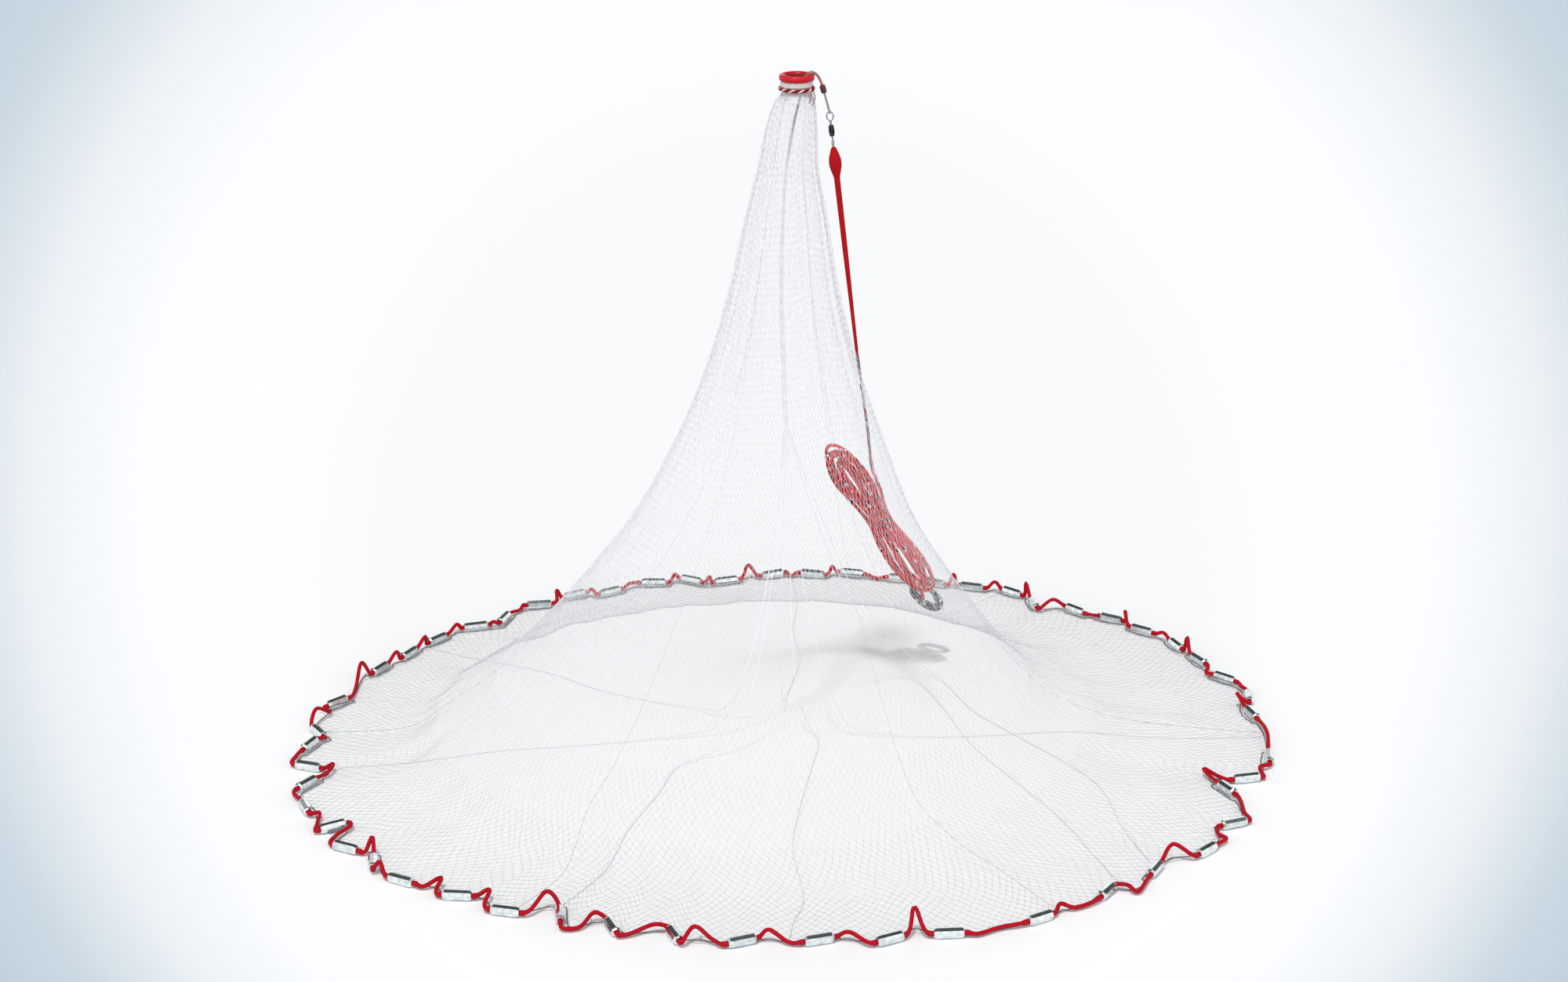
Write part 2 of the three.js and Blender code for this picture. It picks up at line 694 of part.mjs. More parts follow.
function addHank() {
  const outward = point(HANK_OUTWARD);
  const middles = HANK_STATIONS.map(point);
  const rings = HANK_STATIONS.map(([, , , width, thickness], i) => {
    const before = middles[Math.max(i - 1, 0)];
    const after = middles[Math.min(i + 1, middles.length - 1)];
    const tangent = after.clone().sub(before).normalize();
    return polygonRing(middles[i], tangent, outward, width, thickness, HANK_SIDES);
  });
  add("hank", ringSolid(rings, false), SPECKLED_BRAID);
}

function addWristLoop() {
  const [end, before] = HANK_STATIONS.slice(-2).reverse().map(point);
  const down = end.clone().sub(before).normalize();
  const outward = point(WRIST_OUTWARD).normalize();
  const across = new THREE.Vector3().crossVectors(down, outward).normalize();
  const centre = end.clone().addScaledVector(down, WRIST_LONG + WRIST_LINE_RADIUS + 2 * GAP);
  const stations = Array.from({ length: WRIST_STEPS }, (_, i) => {
    const angle = (i / WRIST_STEPS) * 2 * Math.PI;
    const at = centre
      .clone()
      .addScaledVector(down, WRIST_LONG * Math.cos(angle))
      .addScaledVector(across, WRIST_SHORT * Math.sin(angle));
    return { at, radius: WRIST_LINE_RADIUS };
  });
  const normal = new THREE.Vector3().crossVectors(down, across);
  add("wrist_loop", loopedBar(stations, normal, WIRE_SIDES), DARK_BRAID);
}

addWeights();
addLeadLine();
addNetting();
addHorn();
addBindings();
addBrails();
addBead();
addLeader();
addSwivel();
addSleeveAndSheath();
addHandLine();
addHank();
addWristLoop();

export default net;
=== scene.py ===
"""Cast net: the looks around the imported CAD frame. Metres, +Z up, the camera looks along +Y."""
import math
import random

import bpy
import numpy as np
from mathutils import Matrix, Vector


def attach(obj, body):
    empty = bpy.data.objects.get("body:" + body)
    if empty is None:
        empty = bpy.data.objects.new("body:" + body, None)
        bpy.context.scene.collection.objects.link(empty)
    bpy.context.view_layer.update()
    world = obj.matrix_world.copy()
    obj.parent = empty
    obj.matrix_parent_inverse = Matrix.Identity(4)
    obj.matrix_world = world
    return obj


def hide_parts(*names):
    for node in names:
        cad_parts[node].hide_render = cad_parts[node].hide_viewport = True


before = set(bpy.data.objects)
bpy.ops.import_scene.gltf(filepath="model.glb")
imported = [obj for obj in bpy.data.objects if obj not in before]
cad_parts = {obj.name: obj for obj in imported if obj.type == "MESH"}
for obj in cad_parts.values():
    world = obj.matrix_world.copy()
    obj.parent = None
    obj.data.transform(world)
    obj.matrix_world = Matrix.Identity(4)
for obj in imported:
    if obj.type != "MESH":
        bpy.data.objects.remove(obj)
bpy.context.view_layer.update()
MM = 0.001

# ---- camera
CAMERA_DISTANCE = 4.15
camera_data = bpy.data.cameras.new("camera")
camera = bpy.data.objects.new("camera", camera_data)
bpy.context.scene.collection.objects.link(camera)
camera.location = (-0.0027, -CAMERA_DISTANCE, 1.6994)
camera.rotation_euler = (math.radians(71.851), 0, 0)
camera_data.sensor_width = 36
camera_data.lens = 78.17
bpy.context.scene.camera = camera

# ---- routes, as in the CAD, in millimetres
# Each weight: x, y, heading in degrees, then the points of the slack lead line up to the next weight.
RIM = [
    (620, 66, 105, [(605, 95, 22), (608, 108, 14)]),
    (624, 125, 85, [(618, 160, 8)]),
    (600, 195, 135, [(577, 217, 6)]),
    (573, 265, 115, [(560, 300, 26)]),
    (548, 322, 110, [(533, 356, 12)]),
    (506, 382, 140, [(484, 412, 24)]),
    (467, 430, 145, [(445, 445, 5)]),
    (418, 465, 130, [(386, 482, 16)]),
    (360, 490, 100, [(350, 525, 26)]),
    (332, 540, 135, [(307, 564, 14)]),
    (274, 565, 160, [(248, 592, 16)]),
    (219, 584, 145, [(200, 605, 10)]),
    (170, 602, 165, [(135, 604, 5)]),
    (98, 624, 165, [(69, 632, 14)]),
    (40, 622, 165, [(8, 615, 5)]),
    (-20, 620, 205, [(-56, 621, 20)]),
    (-88, 590, 200, [(-113, 598, 10)]),
    (-140, 592, 150, [(-165, 603, 12)]),
    (-195, 582, 180, [(-230, 573, 8)]),
    (-258, 543, 215, [(-284, 538, 12)]),
    (-308, 528, 215, [(-334, 522, 16)]),
    (-358, 489, 190, [(-384, 468, 5)]),
    (-404, 430, 255, [(-418, 412, 8)]),
    (-442, 398, 200, [(-468, 390, 12)]),
    (-492, 346, 235, [(-506, 325, 18)]),
    (-526, 290, 245, [(-540, 265, 18)]),
    (-560, 230, 245, [(-582, 212, 22), (-584, 155, 6)]),
    (-603, 105, 230, [(-608, 72, 6), (-622, 42, 22)]),
    (-614, 0, 300, []),
    (-620, -42, 250, [(-632, -80, 6)]),
    (-612, -115, 340, [(-580, -116, 10), (-584, -140, 8)]),
    (-607, -172, 240, [(-618, -205, 6)]),
    (-598, -247, 290, [(-578, -268, 8), (-577, -296, 6)]),
    (-557, -306, 35, [(-535, -306, 7), (-550, -335, 6)]),
    (-533, -369, 330, [(-508, -380, 6), (-500, -372, 22)]),
    (-495, -412, 275, [(-484, -436, 18)]),
    (-456, -462, 330, [(-428, -478, 5), (-408, -468, 12), (-412, -490, 6)]),
    (-386, -505, 355, [(-348, -502, 12)]),
    (-326, -548, 345, [(-279, -528, 22)]),
    (-262, -558, 275, [(-256, -592, 5), (-237, -588, 5), (-222, -564, 12)]),
    (-200, -590, 290, [(-180, -607, 5), (-152, -592, 10)]),
    (-128, -612, 290, [(-105, -618, 20), (-85, -626, 8)]),
    (-51, -627, 25, [(-20, -614, 14), (2, -628, 5)]),
    (37, -623, 20, [(72, -612, 10)]),
    (118, -622, 30, [(147, -588, 30)]),
    (186, -607, 5, [(220, -606, 5), (246, -589, 5)]),
    (293, -566, 35, [(319, -536, 10), (337, -536, 5)]),
    (377, -494, 60, [(402, -480, 8), (414, -492, 5)]),
    (440, -432, 65, [(465, -394, 22)]),
    (508, -376, 50, [(536, -342, 6), (528, -328, 6)]),
    (551, -296, 25, [(568, -262, 6), (568, -228, 6)]),
    (556, -188, 115, [(533, -132, 10)]),
    (585, -154, 15, [(608, -146, 5), (606, -122, 8)]),
    (623, -86, 85, [(630, -10, 10)]),
]
FIRST_JOINED, LAST_JOINED = 2, 24  # every second of these is part of the lead line's own CAD solid
WEIGHT_LENGTH = 35 * MM
WEIGHT_RADIUS = 6 * MM
LINE_LEAD = 3 * MM
LINE_STEP = 3.2 * MM  # between the lead line's points

# The netting's middle surface from the horn down: radius, height and how far its centre lies along X.
HORN_X = 13
NET_PROFILE = [
    (18.2, 872, HORN_X),
    (18.2, 857, HORN_X),
    (24, 846, 11),
    (30, 820, 7),
    (37, 760, 2),
    (50, 700, 0),
    (69, 600, -3),
    (97, 500, -5),
    (135, 400, -9),
    (182, 300, -17),
    (237, 220, -23),
    (292, 150, -28),
    (347, 90, -34),
    (402, 50, -38),
    (465, 20, -20),
    (520, 10, -3),
    (575, 7, 0),
    (622, 6, 0),
]

BUNDLE_ROUTE = [
    (44.75, 0, 864.7),
    (43, 0, 871),
    (39.8, 0, 877.4),
    (35.4, 0, 882.4),
    (30, 0, 883.6),
    (25.8, 0, 881.4),
    (23.8, 0, 875),
    (21, 0, 864),
    (16, 0, 846),
    (9, 0, 815),
    (4, 0, 786),
    (0, 0, 760),
    (-4, 0, 700),
    (-6, 0, 600),
    (-3, 2, 500),
    (-1, 3, 440),
]
BRAILS = [
    [(4, 4, 300), (14, 8, 60), (30, 8, 12), (42, -14, 4), (34, -100, 1.2), (18, -230, 1), (8, -357, 1),
     (20, -514, 1), (8, -570, 1), (3, -622, 2.5)],
    [(40, 58, 300), (95, 130, 150), (158, 195, 50), (192, 216, 12), (214, 190, 4), (249, 90, 1.2),
     (306, -7, 1), (365, -100, 1), (398, -175, 1), (414, -300, 1), (436, -398, 2.5)],
    [(34, 50, 300), (85, 118, 150), (134, 184, 50), (162, 208, 12), (182, 186, 4), (212, 90, 1.3),
     (243, -34, 1), (296, -164, 1), (340, -270, 1), (374, -390, 1), (395, -462, 2.5)],
    [(-10, -10, 300), (-40, -40, 100), (-75, -62, 14), (-105, -78, 6), (-140, -110, 2), (-160, -190, 1),
     (-195, -310, 1), (-215, -420, 1), (-240, -480, 1), (-264, -528, 2.5)],
    [(-12, 4, 300), (-50, 2, 100), (-90, 0, 14), (-125, -6, 6), (-200, -20, 1.5), (-280, -36, 1),
     (-370, -52, 1), (-480, -90, 1), (-573, -113, 2.5)],
    [(-12, 10, 300), (-46, 30, 100), (-84, 60, 14), (-115, 84, 6), (-180, 120, 1.5), (-250, 160, 1),
     (-330, 230, 1), (-430, 280, 1), (-499, 320, 2.5)],
    [(-4, 14, 300), (-6, 50, 100), (-4, 90, 14), (0, 125, 6), (10, 200, 1.5), (20, 280, 1), (10, 390, 1),
     (16, 500, 1), (9, 608, 2.5)],
    [(10, 4, 300), (46, 4, 100), (84, 2, 14), (120, -4, 6), (190, -6, 1.5), (270, 0, 1), (370, 14, 1),
     (500, -8, 1), (623, -8, 2.5)],
]
BRAIL_RADIUS = 0.5 * MM

SWIVEL_TOP = Vector((53.5, 0, 833)) * MM
SHEATH_END = Vector((90.5, 24, 513)) * MM
BEAD_TOP = Vector((44.4, 0, 866)) * MM
HAND_LINE_ROUTE = [
    (90.6, 24.7, 512),
    (95, 43, 480),
    (100, 63, 442),
    (105, 81, 405),
    (109, 99, 367),
    (112, 114, 338),
]
HANK_MIDDLE = [
    (76, 158, 325),
    (97, 171, 286),
    (118, 185, 247),
    (137, 200, 214),
    (155, 215, 182),
    (168, 227, 156),
    (180, 240, 130),
]
HANK_OUTWARD = Vector((0.62, 0.68, 0.39)).normalized()
WRIST_OUTWARD = Vector((0.46, 0.58, 0.68)).normalized()
HAND_LINE_RADIUS = 2.4 * MM


# ---- mesh helpers
def smooth_path(points, per_run, closed=False):
    """A centripetal Catmull-Rom run through points in millimetres, with per_run steps between two points."""
    points = np.array(points, float) * MM
    if closed:
        points = np.vstack([points[-1], points, points[:2]])
    else:
        points = np.vstack([2 * points[0] - points[1], points, 2 * points[-1] - points[-2]])
    result = []
    for p0, p1, p2, p3 in zip(points[:-3], points[1:-2], points[2:-1], points[3:]):
        t1 = np.linalg.norm(p1 - p0) ** 0.5
        t2 = t1 + np.linalg.norm(p2 - p1) ** 0.5
        t3 = t2 + np.linalg.norm(p3 - p2) ** 0.5
        for t in np.linspace(t1, t2, per_run, endpoint=False):
            a1 = (t1 - t) / t1 * p0 + t / t1 * p1
            a2 = (t2 - t) / (t2 - t1) * p1 + (t - t1) / (t2 - t1) * p2
            a3 = (t3 - t) / (t3 - t2) * p2 + (t - t2) / (t3 - t2) * p3
            b1 = (t2 - t) / t2 * a1 + t / t2 * a2
            b2 = (t3 - t) / (t3 - t1) * a2 + (t - t1) / (t3 - t1) * a3
            result.append((t2 - t) / (t2 - t1) * b1 + (t - t1) / (t2 - t1) * b2)
    if not closed:
        result.append(points[-2])
    return np.array(result)


def lengths_along(path):
    """The distance from the path's start to each of its points."""
    steps = np.linalg.norm(np.diff(path, axis=0), axis=1)
    return np.concatenate([[0], np.cumsum(steps)])


def point_at(path, distance):
    """The point, or points, at a distance from the path's start."""
    s = lengths_along(path)
    return np.stack([np.interp(distance, s, path[:, k]) for k in range(3)], axis=-1)


def even_path(path, step):
    """The same line with points about one step apart."""
    length = lengths_along(path)[-1]
    return point_at(path, np.linspace(0, length, max(2, int(round(length / step)) + 1)))


def soften(path, times):
    """Rounds a path's corners off in place."""
    for _ in range(times):
        path[1:-1] = (path[:-2] + 2 * path[1:-1] + path[2:]) / 4


def unit(vectors):
    return vectors / np.linalg.norm(vectors, axis=-1, keepdims=True)


def frames_along(path, closed=False):
    """Two unit vectors square to the path at each point, carried along it without twist."""
    ahead = np.roll(path, -1, axis=0) - path
    if not closed:
        ahead[-1] = ahead[-2]
    behind = np.roll(ahead, 1, axis=0)
    if not closed:
        behind[0] = ahead[0]
    tangents = unit(unit(ahead) + unit(behind))
    side = np.cross(tangents[0], (0, 0, 1))
    if np.linalg.norm(side) < 0.1:
        side = np.cross(tangents[0], (0, 1, 0))
    sides = [unit(side)]
    for tangent in tangents[1:]:
        sides.append(unit(sides[-1] - tangent * np.dot(sides[-1], tangent)))
    sides = np.array(sides)
    if closed:
        last = sides[-1] - tangents[0] * np.dot(sides[-1], tangents[0])
        rise = np.cross(tangents[0], sides[0])
        turn = math.atan2(np.dot(last, rise), np.dot(last, sides[0]))
        share = -turn * np.arange(len(path)) / len(path)
        rises = np.cross(tangents, sides)
        sides = sides * np.cos(share)[:, None] + rises * np.sin(share)[:, None]
    return sides, np.cross(tangents, sides)


def add_piece(mesh, body, slot, *nodes):
    """An object with its mesh's name that rides a body and may stand in for CAD nodes."""
    piece = bpy.data.objects.new(mesh.name, mesh)
    bpy.context.scene.collection.objects.link(piece)
    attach(piece, body)
    if nodes:
        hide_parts(*nodes)
    return piece


def grid_mesh(name, rings, material, closed_along=False):
    """A skin over rings of points, with a UV map that holds the share of a turn and the metres along."""
    rings = np.array(rings)
    count, around = rings.shape[:2]
    index = np.arange(count * around).reshape(count, around)
    faces, uvs = [], []
    middle = rings.mean(axis=1)
    s = lengths_along(np.vstack([middle, middle[:1]]))
    last = count if closed_along else count - 1
    for i in range(last):
        here, after = index[i], index[(i + 1) % count]
        for j in range(around):
            k = (j + 1) % around
            faces.append((here[j], here[k], after[k], after[j]))
            u0, u1 = j / around, (j + 1) / around
            uvs += [(u0, s[i]), (u1, s[i]), (u1, s[i + 1]), (u0, s[i + 1])]
    if not closed_along:
        faces.append(tuple(index[0][::-1]))
        faces.append(tuple(index[-1]))
        uvs += [(0.5, 0)] * around + [(0.5, s[count - 1])] * around
    mesh = bpy.data.meshes.new(name)
    mesh.from_pydata(rings.reshape(-1, 3).tolist(), [], [tuple(int(v) for v in face) for face in faces])
    layer = mesh.uv_layers.new(name="along")
    layer.data.foreach_set("uv", np.array(uvs, np.float32).ravel())
    mesh.polygons.foreach_set("use_smooth", [True] * len(mesh.polygons))
    mesh.materials.append(material)
    mesh.update()
    return mesh


def circle(count):
    """The cosines and sines of evenly spaced angles."""
    angles = np.arange(count) / count * 2 * math.pi
    return np.cos(angles), np.sin(angles)


def tube_mesh(name, path, radius, sides, material, closed=False):
    """A round bar along a path. The radius is one number or one for each point."""
    path = np.array(path, float)
    radius = np.broadcast_to(np.array(radius, float), (len(path),))
    cosines, sines = circle(sides)
    rings = [
        point + r * (cosines[:, None] * side + sines[:, None] * rise)
        for point, r, side, rise in zip(path, radius, *frames_along(path, closed))
    ]
    return grid_mesh(name, rings, material, closed_along=closed)


def turned_mesh(name, profile, segments, material, looped=False):
    """A turned piece about Z. The profile is radius and height pairs in millimetres."""
    cosines, sines = circle(segments)
    rings = [
        np.column_stack([r * MM * cosines, r * MM * sines, np.full(segments, z * MM)])
        for r, z in profile
    ]
    return grid_mesh(name, rings, material, closed_along=looped)


def aim(at, direction):
    """The matrix that carries a piece made along +Z to a place and a direction."""
    turn = Vector((0, 0, 1)).rotation_difference(Vector(direction).normalized())
    return Matrix.Translation(Vector(at)) @ turn.to_matrix().to_4x4()


# ---- materials
def new_material(name):
    material = bpy.data.materials.new(name)
    material.use_nodes = True
    return material, material.node_tree, material.node_tree.nodes["Principled BSDF"]


def set_inputs(tree, target, inputs):
    """Fills a node's inputs, by name or number, with values or with links from other nodes' outputs."""
    for key, value in inputs.items():
        if isinstance(value, bpy.types.NodeSocket):
            tree.links.new(value, target.inputs[key])
        else:
            target.inputs[key].default_value = value


def node(tree, kind, inputs, **settings):
    """A new node of a kind, with its settings made and its inputs filled."""
    made = tree.nodes.new("ShaderNode" + kind)
    for key, value in settings.items():
        setattr(made, key, value)
    set_inputs(tree, made, inputs)
    return made


def calculate(tree, operation, *values):
    """One step of arithmetic on numbers and outputs."""
    return node(tree, "Math", dict(enumerate(values)), operation=operation).outputs[0]


def place_in(tree, space="Object"):
    return node(tree, "TexCoord", {}).outputs[space]


def parts_of(tree, vector):
    """The X, Y and Z outputs of a vector."""
    return node(tree, "SeparateXYZ", {"Vector": vector}).outputs


def ramp(tree, source, stops):
    made = node(tree, "ValToRGB", {"Fac": source})
    elements = made.color_ramp.elements
    elements[0].position, elements[0].color = stops[0][0], (*stops[0][1], 1)
    elements[1].position, elements[1].color = stops[-1][0], (*stops[-1][1], 1)
    for position, colour in stops[1:-1]:
        elements.new(position).color = (*colour, 1)
    return made.outputs["Color"]


def bump(tree, shader, height, distance):
    made = node(tree, "Bump", {"Height": height, "Strength": 1.0, "Distance": distance})
    set_inputs(tree, shader, {"Normal": made.outputs["Normal"]})


def surface_noise(tree, scale, detail=3.0):
    return node(tree, "TexNoise", {"Vector": place_in(tree), "Scale": scale, "Detail": detail}).outputs["Fac"]


def mottled(name, dark, light, scale, roughness, metallic=0.0, bump_height=0.0, bump_scale=None):
    """A material whose colour wanders between two tones, with a fine bump."""
    material, tree, shader = new_material(name)
    colour = ramp(tree, surface_noise(tree, scale), [(0.35, dark), (0.65, light)])
    set_inputs(tree, shader, {"Base Color": colour, "Roughness": roughness, "Metallic": metallic})
    if bump_height:
        bump(tree, shader, surface_noise(tree, bump_scale or scale * 4, 6.0), bump_height)
    return material


def braid(tree, strands, pitch):
    """Crossing yarns round a cord: 1 on top of a yarn and -1 between yarns, and the place on the cord."""
    place = parts_of(tree, node(tree, "UVMap", {}, uv_map="along").outputs["UV"])
    waves = []
    for sign in (1, -1):
        around = calculate(tree, "MULTIPLY", place["X"], sign * strands * 2 * math.pi)
        along = calculate(tree, "MULTIPLY_ADD", place["Y"], 2 * math.pi / pitch, around)
        waves.append(calculate(tree, "SINE", along))
    return calculate(tree, "MAXIMUM", *waves), place


CORD_SPECULAR = 0.12


def cord_material(name, dark, light, strands, pitch, depth):
    """A laid or braided cord of one colour, with painted shade that darkens it between its yarns."""
    material, tree, shader = new_material(name)
    height, _ = braid(tree, strands, pitch)
    # painted shade: the colour follows the braid's height, darkest in the grooves between yarns
    colour = ramp(tree, height, [(0.0, dark), (0.75, light)])
    set_inputs(tree, shader, {"Base Color": colour, "Roughness": 0.7, "Specular IOR Level": CORD_SPECULAR})
    bump(tree, shader, height, depth)
    return material


def speckled_material(name, stops, strands, pitch):
    """A braid of several colours: each yarn crossing takes one of them at random."""
    material, tree, shader = new_material(name)
    height, place = braid(tree, strands, pitch)
    across = calculate(tree, "MULTIPLY", place["X"], 1.2 * strands)
    along = calculate(tree, "MULTIPLY", place["Y"], 1.0 / pitch)
    cells = node(tree, "CombineXYZ", {"X": across, "Y": along}).outputs[0]
    yarns = node(tree, "TexVoronoi", {"Vector": cells, "Scale": 1.0, "Randomness": 0.8})
    colour = ramp(tree, parts_of(tree, yarns.outputs["Color"])["X"], stops)
    colour.node.color_ramp.interpolation = "CONSTANT"
    set_inputs(tree, shader, {"Base Color": colour, "Roughness": 0.8, "Specular IOR Level": CORD_SPECULAR})
    bump(tree, shader, height, 0.3 * MM)
    return material


def height_blend(name, tones):
    """A colour that follows the height above the ground, in metres."""
    material, tree, shader = new_material(name)
    colour = ramp(tree, parts_of(tree, place_in(tree))["Z"], tones)
    set_inputs(tree, shader, {"Base Color": colour, "Roughness": 0.35})
    return material


def horn_material():
    """Glossy red, with painted shade that darkens it inside the bore."""
    material, tree, shader = new_material("red_plastic")
    flat = node(tree, "VectorMath", {0: place_in(tree), 1: (1, 1, 0)}, operation="MULTIPLY")
    from_axis = node(tree, "VectorMath", {0: flat.outputs[0], 1: (HORN_X * MM, 0, 0)}, operation="DISTANCE")
    wall = {"Value": from_axis.outputs["Value"], "From Min": 13.5 * MM, "From Max": 17.5 * MM}
    share = node(tree, "MapRange", wall).outputs["Result"]
    # painted shade: the red darkens toward the bore's axis
    colour = ramp(tree, share, [
        (0.2, (0.24, 0.0008, 0.003)),
        (0.45, (0.42, 0.001, 0.004)),
        (0.8, (0.56, 0.003, 0.009)),
    ])
    set_inputs(tree, shader, {"Base Color": colour, "Roughness": 0.3, "Specular IOR Level": 0.35})
    bump(tree, shader, surface_noise(tree, 900, 6.0), 0.05 * MM)
    return material


def netting_material(step, tone):
    """Plain monofilament, drawn lighter where it hangs than where it lies over the ground: the darker tones
    are painted shade.
    """
    material, tree, shader = new_material(f"white_monofilament_{step}")
    set_inputs(tree, shader, {"Base Color": (tone, tone, min(1.04 * tone, 1), 1), "Roughness": 0.4})
    return material


# painted shade: the strands are drawn darker toward the rim, where the netting lies over the ground
NETTING_SHADE_TONES = [0.9, 0.9, 0.9, 0.9, 0.92, 0.92, 0.9, 0.85, 0.76, 0.64, 0.5, 0.37]  # from horn to rim
NETTING_MATERIALS = [netting_material(step, tone) for step, tone in enumerate(NETTING_SHADE_TONES)]
COLLAR = mottled("gathered_netting", (0.86, 0.86, 0.88), (0.95, 0.95, 0.97), 300, 0.6)
RED_PLASTIC = horn_material()
# painted shade between the yarns, as in every cord_material
RED_CORD = cord_material("red_cord", (0.16, 0.001, 0.004), (0.6, 0.004, 0.018), 4, 3.2 * MM, 0.2 * MM)
CREAM_TWINE = mottled("cream_twine", (0.6, 0.5, 0.44), (0.88, 0.82, 0.77), 700, 0.85, 0, 0.1 * MM)
# clear brail line coloured by height: a little darker where it lies on the floor; the darker grey inside the
# netting's neck is painted shade, and the dark salmon to brown at the horn is painted shade with painted red
# light from the horn's bore
BRAIL_LINE = height_blend("brail_line", [
    (0.02, (0.7, 0.7, 0.72)),
    (0.1, (0.9, 0.9, 0.92)),
    (0.76, (0.92, 0.92, 0.94)),
    (0.82, (0.46, 0.45, 0.45)),
    (0.855, (0.6, 0.42, 0.38)),
    (0.87, (0.62, 0.22, 0.17)),
    (0.882, (0.3, 0.2, 0.18)),
])
LEADER_LINE = mottled("leader_line", (0.2, 0.2, 0.2), (0.4, 0.39, 0.38), 400, 0.35)
# painted shadow: the clear hem twine is drawn near black where the lead line's shadow falls on the floor
PAINTED_SHADOW_HEM_TWINE = mottled("hem_twine", (0.05, 0.055, 0.06), (0.16, 0.17, 0.18), 300, 0.7)
ZINC = mottled("zinc_plate", (0.58, 0.64, 0.65), (0.84, 0.88, 0.89), 160, 0.13, 1.0, 0.02 * MM, 500)
SWIVEL_WIRE = mottled("swivel_wire", (0.3, 0.3, 0.31), (0.42, 0.42, 0.43), 300, 0.25, 1.0)
SWIVEL_DARK = mottled("swivel_dark", (0.03, 0.03, 0.03), (0.07, 0.07, 0.07), 300, 0.3, 1.0)
MAROON = mottled("maroon", (0.06, 0.008, 0.012), (0.12, 0.02, 0.028), 300, 0.5)
# these cords too carry painted shade between their yarns
DARK_CORD = cord_material("dark_red_cord", (0.06, 0.001, 0.004), (0.22, 0.004, 0.012), 4, 3.2 * MM, 0.2 * MM)
RED_SHEATH = cord_material("red_sheath", (0.3, 0.002, 0.006), (0.56, 0.004, 0.008), 6, 2.4 * MM, 0.15 * MM)
TAG = cord_material("tag_cord", (0.3, 0.12, 0.14), (0.6, 0.42, 0.42), 3, 3 * MM, 0.2 * MM)
SPECKLED = speckled_material("speckled_braid", [
    (0.0, (0.68, 0.001, 0.006)),
    (0.44, (0.82, 0.002, 0.01)),
    (0.72, (0.95, 0.8, 0.78)),
    (0.77, (0.008, 0.003, 0.003)),
    (0.87, (0.56, 0.001, 0.005)),
], 4, 4.6 * MM)
DRAWN_BRAID = speckled_material("drawn_braid", [
    (0.0, (0.4, 0.01, 0.02)),
    (0.3, (0.04, 0.03, 0.03)),
    (0.6, (0.5, 0.42, 0.42)),
    (0.8, (0.3, 0.02, 0.03)),
], 3, 9 * MM)
GREY_BRAID = speckled_material("grey_braid", [
    (0.0, (0.02, 0.02, 0.02)),
    (0.42, (0.1, 0.1, 0.1)),
    (0.7, (0.36, 0.36, 0.36)),
    (0.86, (0.8, 0.8, 0.8)),
], 6, 3.6 * MM)


# ---- lead line, weights and hem
class Weight:
    """One weight: where it lies, which way it points and the slack line that follows it."""

    def __init__(self, number, x, y, heading, slack):
        self.number = number
        angle = math.radians(heading)
        self.centre = np.array((x * MM, y * MM, WEIGHT_RADIUS))
        self.along = np.array((math.cos(angle), math.sin(angle), 0))
        self.slack = [np.array(point) * MM for point in slack]
        self.joined = FIRST_JOINED <= number <= LAST_JOINED and number % 2 == 0


WEIGHTS = [Weight(number, *entry) for number, entry in enumerate(RIM)]


def slack_between(start, end, steps=9):
    """The slack between two weights, which leaves and meets both of them straight."""
    reach = WEIGHT_LENGTH / 2 + LINE_LEAD
    points = [start.centre + start.along * reach, *start.slack, end.centre - end.along * reach]
    slopes = [start.along * np.linalg.norm(points[1] - points[0])]
    slopes += [(after - before) / 2 for before, after in zip(points, points[2:])]
    slopes += [end.along * np.linalg.norm(points[-1] - points[-2])]
    path = [points[0]]
    for p, q, m, n in zip(points, points[1:], slopes, slopes[1:]):
        for t in np.linspace(0, 1, steps + 1)[1:]:
            path.append(
                (2 * t**3 - 3 * t**2 + 1) * p + (t**3 - 2 * t**2 + t) * m
                + (3 * t**2 - 2 * t**3) * q + (t**3 - t**2) * n
            )
    return path


def lead_line_path():
    """Once round from the middle of the first weight back to it."""
    first = WEIGHTS[0]
    half_gap = first.along * 0.5 * MM
    path = [first.centre + half_gap]
    for weight, following in zip(WEIGHTS, WEIGHTS[1:] + WEIGHTS[:1]):
        path += slack_between(weight, following)
    path.append(first.centre - half_gap)
    return even_path(np.array(path), LINE_STEP)


LEAD_LINE = lead_line_path()


def add_lead_line():
    """The line is a little fuller than its nominal size between weights, with a stop knot at each mouth."""
    full_radius, knot_height, knot_reach = 2.6 * MM, 1.1 * MM, 3.2 * MM
    radii = np.full(len(LEAD_LINE), full_radius)
    for weight in WEIGHTS:
        for end in (-1, 1):
            mouth = weight.centre + weight.along * end * (WEIGHT_LENGTH / 2 + 3.5 * MM)
            away = np.linalg.norm(LEAD_LINE - mouth, axis=1)
            radii += knot_height * np.exp(-((away / knot_reach) ** 2))
    mesh = tube_mesh("lead_line_cord", LEAD_LINE, radii, 8, RED_CORD)
    piece = add_piece(mesh, "net", "red_cord", "lead_line")


